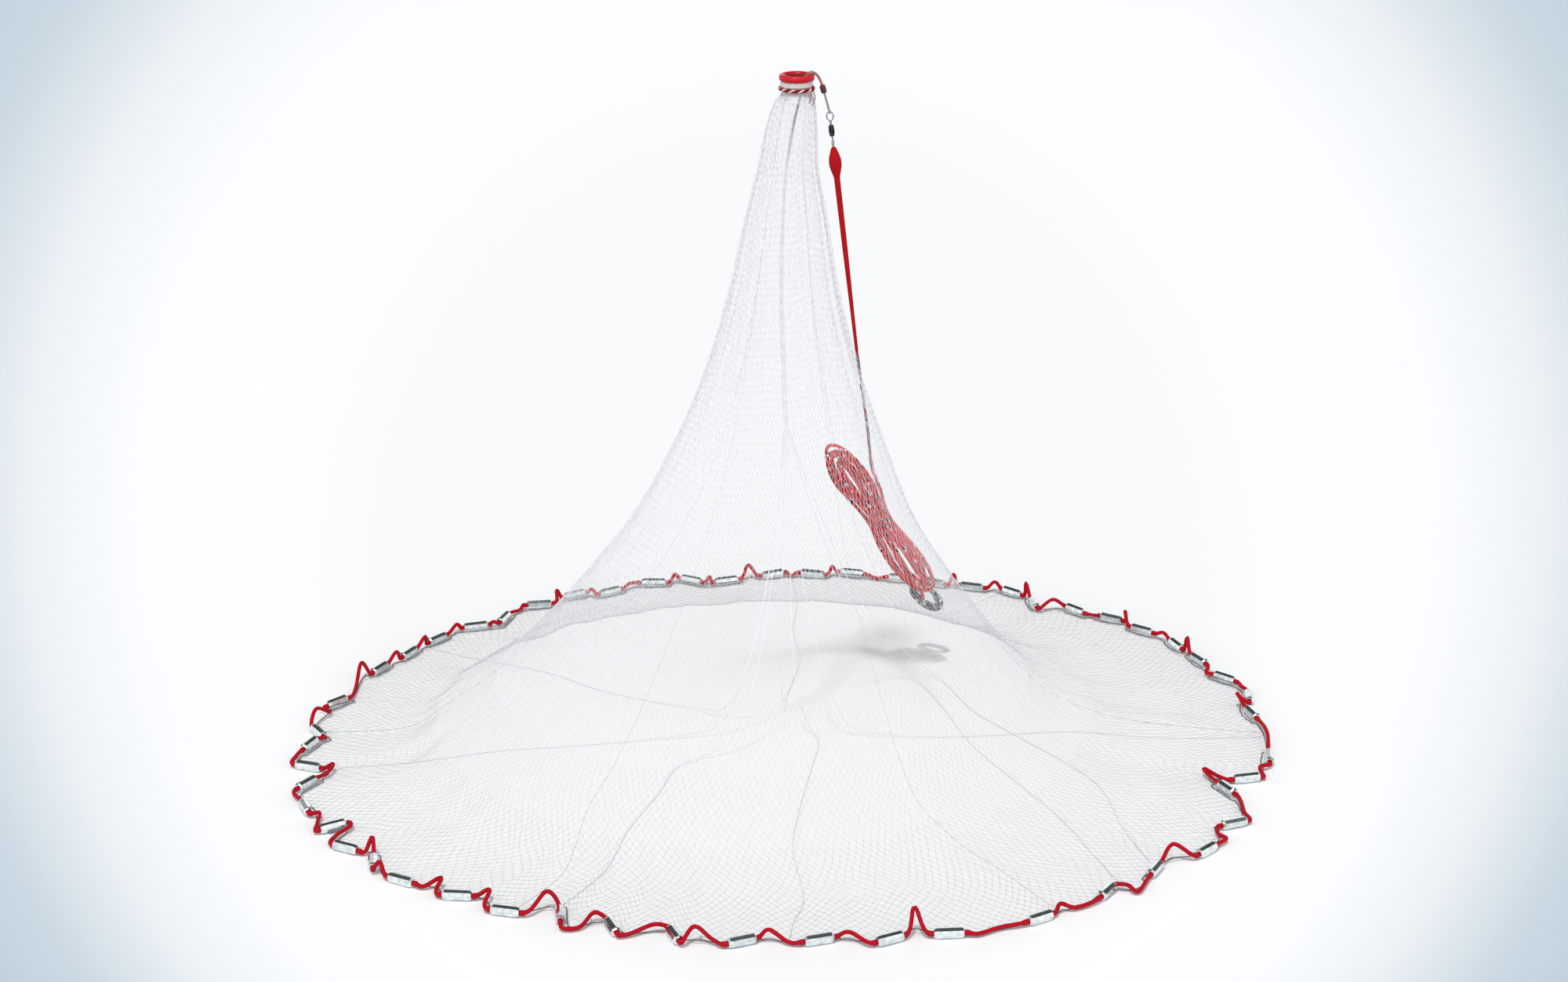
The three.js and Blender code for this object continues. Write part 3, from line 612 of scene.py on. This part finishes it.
def add_weights():
    """Plated tubes pressed to eight flats, an edge upwards, with tapered ends round the line."""
    half = WEIGHT_LENGTH / 2 / MM
    corner = 1.08 * WEIGHT_RADIUS / MM
    bore, end = 2.7, 5.1
    profile = [
        (bore, 3 - half),
        (bore, 0.4 - half),
        (bore + 0.3, -half),
        (end - 0.5, -half),
        (end, 0.5 - half),
        (corner * 0.97, 2.2 - half),
        (corner, 3.6 - half),
    ]
    profile += [(radius, -height) for radius, height in reversed(profile)]
    lift = np.array((0, 0, 0.3 * MM))
    rolls = random.Random(7)
    for weight in WEIGHTS:
        mesh = turned_mesh(f"tube_weight_{weight.number + 1:02d}", profile, 8, ZINC, looped=True)
        mesh.shade_flat()
        place = aim(weight.centre + lift, weight.along)
        up = place.to_3x3().inverted() @ Vector((0, 0, 1))
        roll = math.atan2(up.y, up.x) + math.radians(rolls.uniform(-14, 14))
        mesh.transform(place @ Matrix.Rotation(roll, 4, "Z"))
        if weight.joined:
            add_piece(mesh, "net", "zinc")
        else:
            node_name = f"weight_{weight.number + 1:02d}"
            add_piece(mesh, node_name, "zinc", node_name)


def rim_profile():
    """The netting's edge for each bearing: just inside the lead line, smoothed over its loops."""
    count = 720
    smoothed_over = math.radians(1.4)
    highest_counted = 16 * MM  # the tops of the loops don't pull the edge out
    bearings = np.arange(count) / count * 2 * math.pi
    line_bearing = np.arctan2(LEAD_LINE[:, 1], LEAD_LINE[:, 0]) % (2 * math.pi)
    line_radius = np.hypot(LEAD_LINE[:, 0], LEAD_LINE[:, 1])
    edge = []
    for bearing in bearings:
        turn = np.abs((line_bearing - bearing + math.pi) % (2 * math.pi) - math.pi)
        share = np.exp(-((turn / smoothed_over) ** 2)) * (LEAD_LINE[:, 2] < highest_counted) + 1e-9
        edge.append(np.sum(share * line_radius) / np.sum(share))
    return bearings, np.array(edge) - 4.5 * MM


EDGE_BEARINGS, EDGE_RADII = rim_profile()


# ---- netting
MESH_BAR = 9.5 * MM
STRAND_AT_HORN = 0.12 * MM
STRAND_AT_RIM = 0.17 * MM
GORES = 6
MESHES_AT_HORN = 12  # across one gore
MESHES_AT_RIM = 56
PROFILE = smooth_path(NET_PROFILE, 24)
PROFILE_LENGTHS = lengths_along(PROFILE[:, :2])
RIM_RADIUS = PROFILE[-1, 0]
PLEAT_DEPTH = 2.2 * MM
WAVE_HEIGHT = 4 * MM
FOLLOW_START = 350 * MM  # radius where the skirt starts to follow the lead line


def net_point(bearing, s, wander=(0.0, 0.0, 0.0)):
    """A point of the netting at a bearing and a distance down from the horn, with its folds."""
    total = PROFILE_LENGTHS[-1]
    ease = min(s / (0.05 * total), 1) * min((total - s) / (0.1 * total), 1)
    s += 5 * MM * ease * (math.sin(3 * bearing + 1) + 0.6 * math.sin(8 * bearing))
    radius, height, shift = (np.interp(s, PROFILE_LENGTHS, PROFILE[:, k]) for k in range(3))
    share = s / total
    follow = min(max((radius - FOLLOW_START) / (RIM_RADIUS - FOLLOW_START), 0), 1)
    follow = follow * follow * (3 - 2 * follow)
    edge = np.interp(bearing % (2 * math.pi), EDGE_BEARINGS, EDGE_RADII, period=2 * math.pi)
    radius += (edge - RIM_RADIUS) * follow
    # pleats hang from the horn and die out on the skirt, which lies in low waves instead
    gather = min(share / 0.06, 1) * max(1 - share / 0.72, 0)
    pleats = math.sin(17 * bearing + 3 * share)
    pleats += 0.7 * math.sin(29 * bearing + 1.3 - 5 * share)
    pleats += 0.5 * math.sin(41 * bearing + 0.4)
    radius += PLEAT_DEPTH * gather * pleats * (0.5 + 1.4 * share)
    waves = math.sin(5 * bearing + 9 * share)
    waves += 0.8 * math.sin(11 * bearing + 2.1 + 14 * share)
    waves += 0.6 * math.sin(23 * bearing + 0.7)
    height += WAVE_HEIGHT * max(0, waves) * max(0, share - 0.75) / 0.25 * (1 - follow**6)
    return (
        shift + radius * math.cos(bearing) + wander[0],
        radius * math.sin(bearing) + wander[1],
        height + wander[2],
    )


def meshes_across(share):
    """How many meshes a gore holds at a share of the way down."""
    return MESHES_AT_HORN + (MESHES_AT_RIM - MESHES_AT_HORN) * share


def row_lengths():
    """Distances down from the horn of the rows of knots, half a mesh apart."""
    total = PROFILE_LENGTHS[-1]
    rows = [0.0]
    while rows[-1] < total:
        radius = np.interp(rows[-1], PROFILE_LENGTHS, PROFILE[:, 0])
        half_width = math.pi * radius / GORES / meshes_across(rows[-1] / total)
        rows.append(rows[-1] + math.sqrt(MESH_BAR**2 - half_width**2))
    return np.array(rows) / rows[-1] * total


def strand_mesh(name, bars, materials):
    """Straight closed three-sided bars as one mesh. Each has its start, end, radius and material's number."""
    sides = 3
    starts, ends, radii, tints = zip(*bars)
    starts, ends = np.array(starts), np.array(ends)
    along = unit(ends - starts)
    side = unit(np.cross(along, (0.31, 0.17, 0.93)))
    rise = np.cross(along, side)
    cosines, sines = circle(sides)
    offsets = cosines[:, None] * side[:, None] + sines[:, None] * rise[:, None]
    offsets *= np.array(radii)[:, None, None]
    vertices = np.concatenate([starts[:, None] + offsets, ends[:, None] + offsets], axis=1).reshape(-1, 3)
    walls = np.array([(k, (k + 1) % sides, (k + 1) % sides + sides, k + sides) for k in range(sides)])
    caps = np.array([tuple(range(sides))[::-1], tuple(range(sides, 2 * sides))])
    base = np.arange(len(starts))[:, None, None] * 2 * sides
    corners = np.concatenate([(walls[None] + base).ravel(), (caps[None] + base).ravel()])
    sizes = np.array([4] * (sides * len(starts)) + [sides] * (2 * len(starts)))
    mesh = bpy.data.meshes.new(name)
    mesh.vertices.add(len(vertices))
    mesh.vertices.foreach_set("co", vertices.astype(np.float32).ravel())
    mesh.loops.add(len(corners))
    mesh.loops.foreach_set("vertex_index", corners.astype(np.int32))
    mesh.polygons.add(len(sizes))
    mesh.polygons.foreach_set("loop_start", (np.cumsum(sizes) - sizes).astype(np.int32))
    mesh.polygons.foreach_set("loop_total", sizes.astype(np.int32))
    for material in materials:
        mesh.materials.append(material)
    tints = np.array(tints, np.int32)
    picks = np.concatenate([np.repeat(tints, sides), np.repeat(tints, 2)])
    mesh.polygons.foreach_set("material_index", picks)
    mesh.update(calc_edges=True)
    mesh.validate()
    return mesh


SEAM = 9999  # marks a seam's own knots, beyond any column


def row_of_knots(number, s, share, middle, jitter):
    """A row's knots by their column, in half meshes from the gore's middle, with one on each seam."""
    gore_angle = 2 * math.pi / GORES
    across = meshes_across(share)
    size = 0.9 * MM * min(share / 0.1, 1)
    limit = int(2 * across)
    knots = {}
    for half in range(-limit, limit + 1):
        column = half / 2
        if (half + number) % 2 or abs(column) > across / 2 - 0.3:
            continue
        wander = [jitter.uniform(-size, size) for _ in range(3)]
        wander[2] *= 0.6
        knots[half] = net_point(middle + column / across * gore_angle, s, wander)
    for sign in (-1, 1):
        knots[sign * SEAM] = net_point(middle + sign * gore_angle / 2, s)
    return knots


def bars_between(above, knots, strand, tint):
    """The strands from one row's knots up to the row above; new columns start from the seam."""
    bars = []
    for half, knot in knots.items():
        if abs(half) == SEAM:
            bars.append((above[half], knot, strand * 1.5, tint))
            continue
        for step in (-1, 1):
            target = above.get(half + step, above[SEAM if half > 0 else -SEAM])
            bars.append((target, knot, strand, tint))
    return bars


def add_netting():
    """Six gores of diamond mesh. Each gains meshes at its two seams on the way down."""
    rows = row_lengths()
    for gore in range(GORES):
        jitter = random.Random(100 + gore)
        middle = (gore + 0.5) * 2 * math.pi / GORES
        bars, above = [], {}
        for number, s in enumerate(rows):
            share = s / rows[-1]
            strand = STRAND_AT_HORN + (STRAND_AT_RIM - STRAND_AT_HORN) * share
            # each row takes its painted shade tone by its share of the way down
            tint = min(int(share * len(NETTING_SHADE_TONES)), len(NETTING_SHADE_TONES) - 1)
            knots = row_of_knots(number, s, share, middle, jitter)
            if above:
                bars += bars_between(above, knots, strand, tint)
            above = knots
        mesh = strand_mesh(f"netting_gore_{gore + 1}", bars, NETTING_MATERIALS)
        add_piece(mesh, "net", "white_mesh", "netting_neck", "netting_flare", "netting_skirt")


def hem_path():
    """Cuts across the lead line's loops, stays low and is pushed to each weight's inner side."""
    reach = 9
    kernel = np.exp(-(np.arange(-3 * reach, 3 * reach + 1) / reach) ** 2)
    kernel /= kernel.sum()
    wrapped = np.vstack([LEAD_LINE[-3 * reach:], LEAD_LINE, LEAD_LINE[:3 * reach]])
    soft = np.column_stack([np.convolve(wrapped[:, k], kernel, "valid") for k in range(3)])
    outward = soft * (1, 1, 0) / np.linalg.norm(soft[:, :2], axis=1)[:, None]
    inset = np.full(len(soft), 2.2 * MM)
    for weight in WEIGHTS:
        away = np.linalg.norm(LEAD_LINE - weight.centre, axis=1)
        inset += 7.6 * MM * np.exp(-((away / (19 * MM)) ** 4))
    path = soft - outward * inset[:, None]
    path[:, 2] = 1.6 * MM + 0.35 * (soft[:, 2] - WEIGHT_RADIUS).clip(0)
    clear = 1.4 * WEIGHT_RADIUS
    covered = WEIGHT_LENGTH / 2 + 8 * MM
    for weight in WEIGHTS:
        inward = np.cross((0, 0, 1), weight.along)
        inward *= -math.copysign(1, np.dot(inward, weight.centre))
        offset = path - weight.centre
        beside = offset @ inward
        close = (np.abs(offset @ weight.along) < covered) & (np.abs(beside) < clear)
        path[close] += (clear - beside[close])[:, None] * inward
    return path


def add_hem_twine():
    """Thin twine that ties the netting to the lead line, drawn near black as a painted shadow of the lead
    line on the floor.
    """
    path = hem_path()
    mesh = tube_mesh("hem_twine", even_path(path, 4 * MM), 0.75 * MM, 5, PAINTED_SHADOW_HEM_TWINE)
    add_piece(mesh, "net", "clear_line")
    add_hem_ends(path)


def add_hem_ends(path):
    """Short cut ends of twine that stick up along the hem, away from the weights, in the same near-black
    painted-shadow tone.
    """
    radius = 0.28 * MM
    pick = random.Random(21)
    bars = []
    for index in range(12, len(path) - 12, 23):
        at = path[index + pick.randint(-8, 8)]
        if min(np.linalg.norm(weight.centre - at) for weight in WEIGHTS) < 28 * MM:
            continue
        for _ in range(2):
            lean = np.array((pick.uniform(-1, 1), pick.uniform(-1, 1), pick.uniform(0.4, 1.2))) * 6 * MM
            tip = at + lean
            bars.append((at, tip, radius, 0))
            bars.append((tip, tip + (lean[1], -lean[0], -0.4 * lean[2]), radius, 0))
    mesh = strand_mesh("hem_twine_ends", bars, [PAINTED_SHADOW_HEM_TWINE])
    add_piece(mesh, "net", "clear_line")


def add_collar():
    """Netting drawn tight over the horn's neck, as upright strands side by side under the bindings."""
    count = 108
    heights = [871, 861, 856, 851, 846]
    radii = [0.36, 0.34, 0.28, 0.18]
    bars = []
    for k in range(count):
        bearing = k / count * 2 * math.pi
        fold = 0.25 * math.sin(19 * bearing)
        run = []
        for height in heights:
            index = np.argmin(np.abs(PROFILE[:, 1] - height * MM))
            radius = PROFILE[index, 0] + (fold + 0.1) * MM
            shift = PROFILE[index, 2]
            run.append((shift + radius * math.cos(bearing), radius * math.sin(bearing), height * MM))
        bars += [(start, end, r * MM, 0) for start, end, r in zip(run, run[1:], radii)]
    mesh = strand_mesh("netting_collar", bars, [COLLAR])
    add_piece(mesh, "net", "white_mesh")


# ---- horn and its bindings
def add_horn():
    top, under, bottom = 880, 872.2, 856
    profile = [
        (14, bottom + 1), (15, bottom), (16, bottom), (17, bottom + 1), (17, under), (20, under),
        (21.3, under + 0.5), (22, under + 1.8), (22, top - 2.4), (21.4, top - 0.9), (20, top), (17.6, top),
        (16.2, top - 0.5), (14.9, top - 1.8), (14.2, top - 4), (14, top - 7),
    ]
    mesh = turned_mesh("horn_ring", profile, 96, RED_PLASTIC, looped=True)
    mesh.transform(Matrix.Translation((HORN_X * MM, 0, 0)))
    add_piece(mesh, "net", "red_plastic", "horn")


def round_horn(radius, angle, height):
    """A point about the horn's axis, from a radius and a height in millimetres."""
    return ((HORN_X + radius * math.cos(angle)) * MM, radius * math.sin(angle) * MM, height * MM)


def add_twine_band():
    """Turns of twine that climb the horn's neck."""
    turns, per_turn = 6, 72
    count = turns * per_turn
    phase = random.Random(1).uniform(0, 6)
    path = []
    for i in range(count + 1):
        angle = i / per_turn * 2 * math.pi
        radius = 19.6 + 0.12 * math.sin(5 * angle + phase)
        path.append(round_horn(radius, angle, 865.4 + 6.2 * i / count))
    mesh = tube_mesh("twine_wraps", path, 0.62 * MM, 8, CREAM_TWINE)
    add_piece(mesh, "net", "cream_twine", "twine_band")


def add_lashing():
    """Three strands laid round each other in a ring, and the knot's two loose ends on its right side."""
    steps, lays = 240, 11
    for strand, material in enumerate((RED_CORD, CREAM_TWINE, DARK_CORD)):
        points = []
        for i in range(steps):
            angle = i / steps * 2 * math.pi
            turn = lays * angle + strand * 2 * math.pi / 3
            points.append(round_horn(21.2 + 1.1 * math.cos(turn), angle, 862.2 + 1.1 * math.sin(turn)))
        mesh = tube_mesh(f"lashing_strand_{strand + 1}", points, 1.0 * MM, 8, material, closed=True)
        replaced = ["lashing"] if strand == 0 else []
        add_piece(mesh, "net", "red_cord", *replaced)
    routes = [
        [(31, -8, 863), (33.5, -9, 860), (35.5, -9, 853), (34, -9, 846), (32, -8, 842)],
        [(28, -14, 863), (29.5, -15.5, 859), (30, -16, 853), (28.5, -16, 847)],
    ]
    for number, route in enumerate(routes):
        mesh = tube_mesh(f"lashing_end_{number + 1}", smooth_path(route, 8), 0.9 * MM, 8, TAG)
        add_piece(mesh, "net", "red_cord")


# ---- brails, bead and leader
def add_brails():
    """Eight lines that run twisted together to the bead and each to its own place on the lead line."""
    bundle = even_path(smooth_path(BUNDLE_ROUTE, 12), 4 * MM)
    side, rise = frames_along(bundle)
    s = lengths_along(bundle)
    loose = np.clip((s - 0.12) / 0.35, 0, 1)
    in_bore = np.exp(-(((s - 0.035) / 0.012) ** 2))
    spread = (1.35 + 1.6 * loose + 1.1 * in_bore) * MM
    metres_per_radian = 0.05
    for number, route in enumerate(BRAILS):
        angle = number / len(BRAILS) * 2 * math.pi + s / metres_per_radian
        lane = bundle + spread[:, None] * (np.cos(angle)[:, None] * side + np.sin(angle)[:, None] * rise)
        leg = smooth_path([tuple(lane[-1] / MM)] + route, 14)
        joined = np.vstack([lane[:-1], leg])
        soften(joined, 3)
        path = even_path(joined, 5 * MM)
        mesh = tube_mesh(f"brail_{number + 1}", path, BRAIL_RADIUS, 6, BRAIL_LINE)
        piece = add_piece(mesh, "net", "clear_line", "brails")


def add_bead():
    profile = [
        (2.5, 1.5), (2.6, 0.2), (3, 0), (3.5, 1), (3.7, 3), (3.6, 5), (3.7, 7), (3.5, 9), (3, 10), (2.6, 9.8),
        (2.5, 8.5),
    ]
    mesh = turned_mesh("brail_bead", profile, 32, MAROON, looped=True)
    mesh.transform(aim(BEAD_TOP, SWIVEL_TOP - BEAD_TOP))
    add_piece(mesh, "net", "maroon", "bead")


def add_leader():
    """A closed loop of line, narrow at the bead and wider at the swivel's eye."""
    down = SWIVEL_TOP - BEAD_TOP
    length = down.length / MM
    down.normalize()
    across = Vector((0.35, 0.94, 0)).normalized()
    half = [(1.5, 0.8), (6, 0.95), (12, 1.2), (20, 1.6), (length - 4, 2.0), (length + 0.8, 1.9)]
    outline = half + [(length + 2.5, 0)] + [(ahead, -aside) for ahead, aside in reversed(half)]
    route = [tuple(BEAD_TOP / MM + down * ahead + across * aside) for ahead, aside in outline]
    path = smooth_path(route, 6, closed=True)
    mesh = tube_mesh("leader_line", path, 0.75 * MM, 8, LEADER_LINE, closed=True)
    add_piece(mesh, "net", "clear_line", "leader")


# ---- swivel, sleeve and sheath
SPIN_DOWN = (SHEATH_END - SWIVEL_TOP).normalized()
EYE_LENGTH, NECK, BARREL, LOWER_EYE_LENGTH = 14, 3.5, 14, 9
BARREL_TOP = EYE_LENGTH + NECK
BARREL_BOTTOM = BARREL_TOP + BARREL
SLEEVE_TOP = BARREL_BOTTOM + NECK + LOWER_EYE_LENGTH + 1.4
SLEEVE_LENGTH = 40
SHEATH_TOP = SLEEVE_TOP + SLEEVE_LENGTH + 0.3


def down_spin(distance):
    """The place on the swivel's axis at a distance in millimetres from its top."""
    return SWIVEL_TOP + SPIN_DOWN * distance * MM


def eye_mesh(name, length, width):
    """A wire diamond that narrows into a shank, pointing along +Z from the shank's end."""
    half = width / 2 - 0.8
    right = [
        (0.35, -NECK - 1), (0.35, -1.5), (0.5, 1), (half * 0.72, 0.3 * length), (half, 0.52 * length),
        (half * 0.82, 0.76 * length), (1.3, length - 0.2),
    ]
    outline = right + [(-x, z) for x, z in reversed(right)]
    route = [(x, 0, z) for x, z in outline]
    return tube_mesh(name, smooth_path(route, 6), 0.8 * MM, 12, SWIVEL_WIRE)


def add_swivel():
    upper = eye_mesh("swivel_top_eye", EYE_LENGTH, 10)
    upper.transform(aim(down_spin(EYE_LENGTH), -SPIN_DOWN))
    add_piece(upper, "net", "swivel_wire", "swivel_upper_eye")
    profile = [
        (1.4, 0.6), (1.7, 0), (2.6, 0), (3.1, 0.5), (3.3, 2), (3.2, 3), (3.65, 3.8), (3.7, 7), (3.65, 10.2),
        (3.2, 11), (3.3, 12), (3.1, 13.5), (2.6, 14), (1.7, 14), (1.4, 13.4),
    ]
    barrel = turned_mesh("swivel_body", profile, 40, SWIVEL_DARK, looped=True)
    barrel.transform(aim(down_spin(BARREL_TOP), SPIN_DOWN))
    add_piece(barrel, "swivel_barrel", "swivel_dark", "swivel_barrel")
    lower = eye_mesh("swivel_bottom_eye", LOWER_EYE_LENGTH, 7)
    lower.transform(aim(down_spin(BARREL_BOTTOM + NECK), SPIN_DOWN))
    add_piece(lower, "line_end", "swivel_wire", "swivel_lower_eye")


def add_sleeve_and_sheath():
    sleeve = [
        (0.6, 0), (2.2, 0.4), (3.2, 2), (4.4, 5), (6, 10), (7.4, 15), (8, 20), (7.7, 25), (6.6, 30),
        (5.2, 35), (4.4, 38), (4.1, SLEEVE_LENGTH), (0.6, SLEEVE_LENGTH),
    ]
    mesh = turned_mesh("knot_cover", sleeve, 48, RED_SHEATH)
    mesh.transform(aim(down_spin(SLEEVE_TOP), SPIN_DOWN))
    add_piece(mesh, "line_end", "red_sheath", "knot_sleeve")
    shares = np.linspace(0, 1, 60)
    start = down_spin(SHEATH_TOP)
    path = [tuple(start.lerp(SHEATH_END, share)) for share in shares]
    radii = np.interp(shares, [0, 0.4, 0.8, 0.97, 1], [3.9, 3.4, 2.4, 2.1, 1.6]) * MM
    mesh = tube_mesh("tapered_sheath", path, radii, 16, RED_SHEATH)
    add_piece(mesh, "line_end", "red_sheath", "line_sheath")


# ---- hand line, hank and wrist loop
HANK_TURNS = 7.5
HANK_ENTRY = 0.17  # where on its first turn the free line joins the hank
HANK_LINE = smooth_path(HANK_MIDDLE, 12)


def hank_frame(u):
    """The hank's middle line at a share of its length: the place, the way down, across and outward."""
    length = lengths_along(HANK_LINE)[-1]
    at = point_at(HANK_LINE, u * length)
    ahead = point_at(HANK_LINE, min(u + 0.03, 1) * length)
    behind = point_at(HANK_LINE, max(u - 0.03, 0) * length)
    down = unit(ahead - behind)
    outward = unit(np.array(HANK_OUTWARD) - down * np.dot(HANK_OUTWARD, down))
    return at, down, np.cross(down, outward), outward


def hank_path():
    """Turns side by side, from the outermost in: wide at the top loop, drawn in at the neck, parted below."""
    per_turn = 64
    loose = random.Random(5)
    stretch = [(loose.uniform(0.9, 1.15), loose.uniform(0.25, 0.9), loose.uniform(-2, 2)) for _ in range(9)]
    path = []
    for i in range(int(HANK_ENTRY * per_turn), int(HANK_TURNS * per_turn)):
        turn = i / per_turn
        over, under, sway = (np.interp(turn, range(9), [entry[k] for entry in stretch]) for k in range(3))
        phase = turn % 1 * 2 * math.pi
        u = 0.5 - 0.5 * math.cos(phase)
        spacing = np.interp(u, [0, 0.12, 0.28, 0.45, 0.7, 1], [4.6, 5.1, 4.5, 2.2, 4.5, 4.2])
        gap = np.interp(u, [0, 0.08, 0.16, 0.25, 0.45, 0.62, 0.85, 1], [4, 7, 7, 1.5, 0, 5, 9, 6])
        reach = gap + min(max(7.2 - turn, 0), 6.6) * spacing + sway * math.sin(phase * 2)
        reach -= np.interp(turn, [HANK_ENTRY, 0.75], [5, 0])
        if phase > math.pi:  # the left side swells round the top loop
            reach *= 1 + 0.24 * math.exp(-(((u - 0.18) / 0.13) ** 2))
        side = math.copysign(min(1, abs(math.sin(phase)) * 2.0) ** 0.7, math.sin(phase))
        level = 4.4 * math.sin(2.6 * turn + 0.8) + 2.2 * math.sin(4 * u + 1.7 * turn) + 1.5
        beyond = math.sqrt(max(0, 1 - side**2)) * reach * (-over if u < 0.5 else under)
        drift = 1.8 * math.sin(9 * turn + 5 * u)
        at, down, across, outward = hank_frame(u)
        path.append(at + (down * beyond + across * (side * reach + drift) + outward * level) * MM)
    return np.array(path)


def hand_line_path():
    """The free stretch, the hank's turns and the tail in one line, with the free stretch's length."""
    free = smooth_path(HAND_LINE_ROUTE, 10)
    coil = hank_path()
    entry = smooth_path([*(free[-2:] / MM), (118, 134, 314), coil[0] / MM], 8)[8:]
    tail = smooth_path([coil[-1] / MM, (187, 256, 108), (189, 266, 98)], 6)
    path = np.vstack([free[:-1], entry[:-1], coil[:-1], tail])
    soften(path, 6)
    return even_path(path, 4 * MM), lengths_along(free)[-1]


def add_wrist_loop():
    """A closed eye that hangs from the hank, with its upper part thinner."""
    end = np.array((185, 265, 118)) * MM
    before = np.array((180, 254, 132)) * MM
    down = unit(end - before)
    across = unit(np.cross(down, WRIST_OUTWARD))
    half_length, half_width, count = 31 * MM, 20 * MM, 64
    centre = end + down * 31.1 * MM
    path, radii = [], []
    for i in range(count):
        angle = i / count * 2 * math.pi
        path.append(centre + down * half_length * math.cos(angle) + across * half_width * math.sin(angle))
        radii.append((5.6 if math.cos(angle) > -0.2 else 3.6) * MM)
    radii = np.convolve(np.tile(radii, 3), np.ones(9) / 9, "same")[count:2 * count]
    mesh = tube_mesh("wrist_eye", path, radii, 14, GREY_BRAID, closed=True)
    return add_piece(mesh, "net", "dark_braid", "wrist_loop")


def add_hand_line():
    """One braid from the sheath to the wrist loop. Its free length is drawn thinner than the slack turns."""
    path, drawn = hand_line_path()
    s = lengths_along(path)
    change = [drawn - 30 * MM, drawn + 20 * MM]
    radii = np.interp(s, change, [0.82 * HAND_LINE_RADIUS, HAND_LINE_RADIUS])
    sides = 12
    mesh = tube_mesh("hand_line_braid", path, radii, sides, SPECKLED)
    mesh.materials.append(DRAWN_BRAID)
    drawn_faces = int(np.searchsorted(s, drawn)) * sides
    for face in mesh.polygons:
        face.material_index = int(face.index < drawn_faces)
    piece = add_piece(mesh, "net", "speckled_braid", "hand_line", "hank")
    eye = add_wrist_loop()


# ---- stage
def stage_material():
    """Near white in the middle, turning to a cool grey far to the sides, in front and behind: painted light
    falloff.
    """
    material, tree, shader = new_material("floor_paper")
    place = parts_of(tree, place_in(tree))
    distance = calculate(tree, "ADD", place["Y"], CAMERA_DISTANCE)
    sideways = calculate(tree, "MULTIPLY", calculate(tree, "DIVIDE", place["X"], distance), 4.1)
    depth = calculate(tree, "MULTIPLY_ADD", calculate(tree, "DIVIDE", 1.7, distance), 3.9, -1.36)
    squared = calculate(tree, "MULTIPLY_ADD", depth, depth, calculate(tree, "MULTIPLY", sideways, sideways))
    spread = calculate(tree, "MULTIPLY", calculate(tree, "SQRT", squared), 0.72)
    # painted light: a pool of light in the middle that falls off to cool grey
    colour = ramp(tree, spread, [
        (0.36, (0.91, 0.915, 0.925)),
        (0.5, (0.95, 0.955, 0.965)),
        (0.61, (0.92, 0.935, 0.955)),
        (0.69, (0.82, 0.85, 0.88)),
        (0.79, (0.57, 0.66, 0.73)),
        (1.0, (0.4, 0.49, 0.57)),
    ])
    set_inputs(tree, shader, {"Base Color": colour, "Roughness": 0.9, "Specular IOR Level": 0.1})
    return material


def add_floor():
    mesh = bpy.data.meshes.new("floor")
    size = 30
    corners = [(-size, -size, 0), (size, -size, 0), (size, size, 0), (-size, size, 0)]
    mesh.from_pydata(corners, [], [(0, 1, 2, 3)])
    mesh.materials.append(stage_material())
    floor = bpy.data.objects.new("floor", mesh)
    bpy.context.scene.collection.objects.link(floor)
    floor.location.z = -0.2 * MM


def add_light():
    """A white sky but for a dark part above and behind the net, which the weights mirror, and a soft sun."""
    world = bpy.data.worlds.new("studio")
    bpy.context.scene.world = world
    world.use_nodes = True
    tree = world.node_tree
    direction = place_in(tree, "Generated")
    facing = node(tree, "VectorMath", {0: direction, 1: (0, 0.93, 0.37)}, operation="DOT_PRODUCT")
    dark_part = ramp(tree, facing.outputs["Value"], [
        (0.0, (1, 1, 1)),
        (0.16, (0.7, 0.71, 0.73)),
        (0.42, (0.1, 0.11, 0.11)),
        (1.0, (0.05, 0.06, 0.06)),
    ])
    horizon = ramp(tree, parts_of(tree, direction)["Z"], [(0.3, (1, 1, 1)), (0.45, (0, 0, 0))])
    sky = node(tree, "VectorMath", {0: dark_part, 1: horizon}, operation="MAXIMUM")
    set_inputs(tree, tree.nodes["Background"], {"Color": sky.outputs["Vector"], "Strength": 1.13})

    sun = bpy.data.lights.new("key", "SUN")
    sun.energy = 1.45
    sun.angle = math.radians(4)
    key = bpy.data.objects.new("key", sun)
    key.rotation_euler = Vector((0.15, 0.45, -1)).to_track_quat("-Z", "Y").to_euler()
    bpy.context.scene.collection.objects.link(key)


bpy.context.scene.view_settings.view_transform = "Standard"
add_lead_line()
add_brails()
add_hand_line()
add_weights()
add_netting()
add_hem_twine()
add_collar()
add_horn()
add_twine_band()
add_lashing()
add_bead()
add_leader()
add_swivel()
add_sleeve_and_sheath()
add_floor()
add_light()
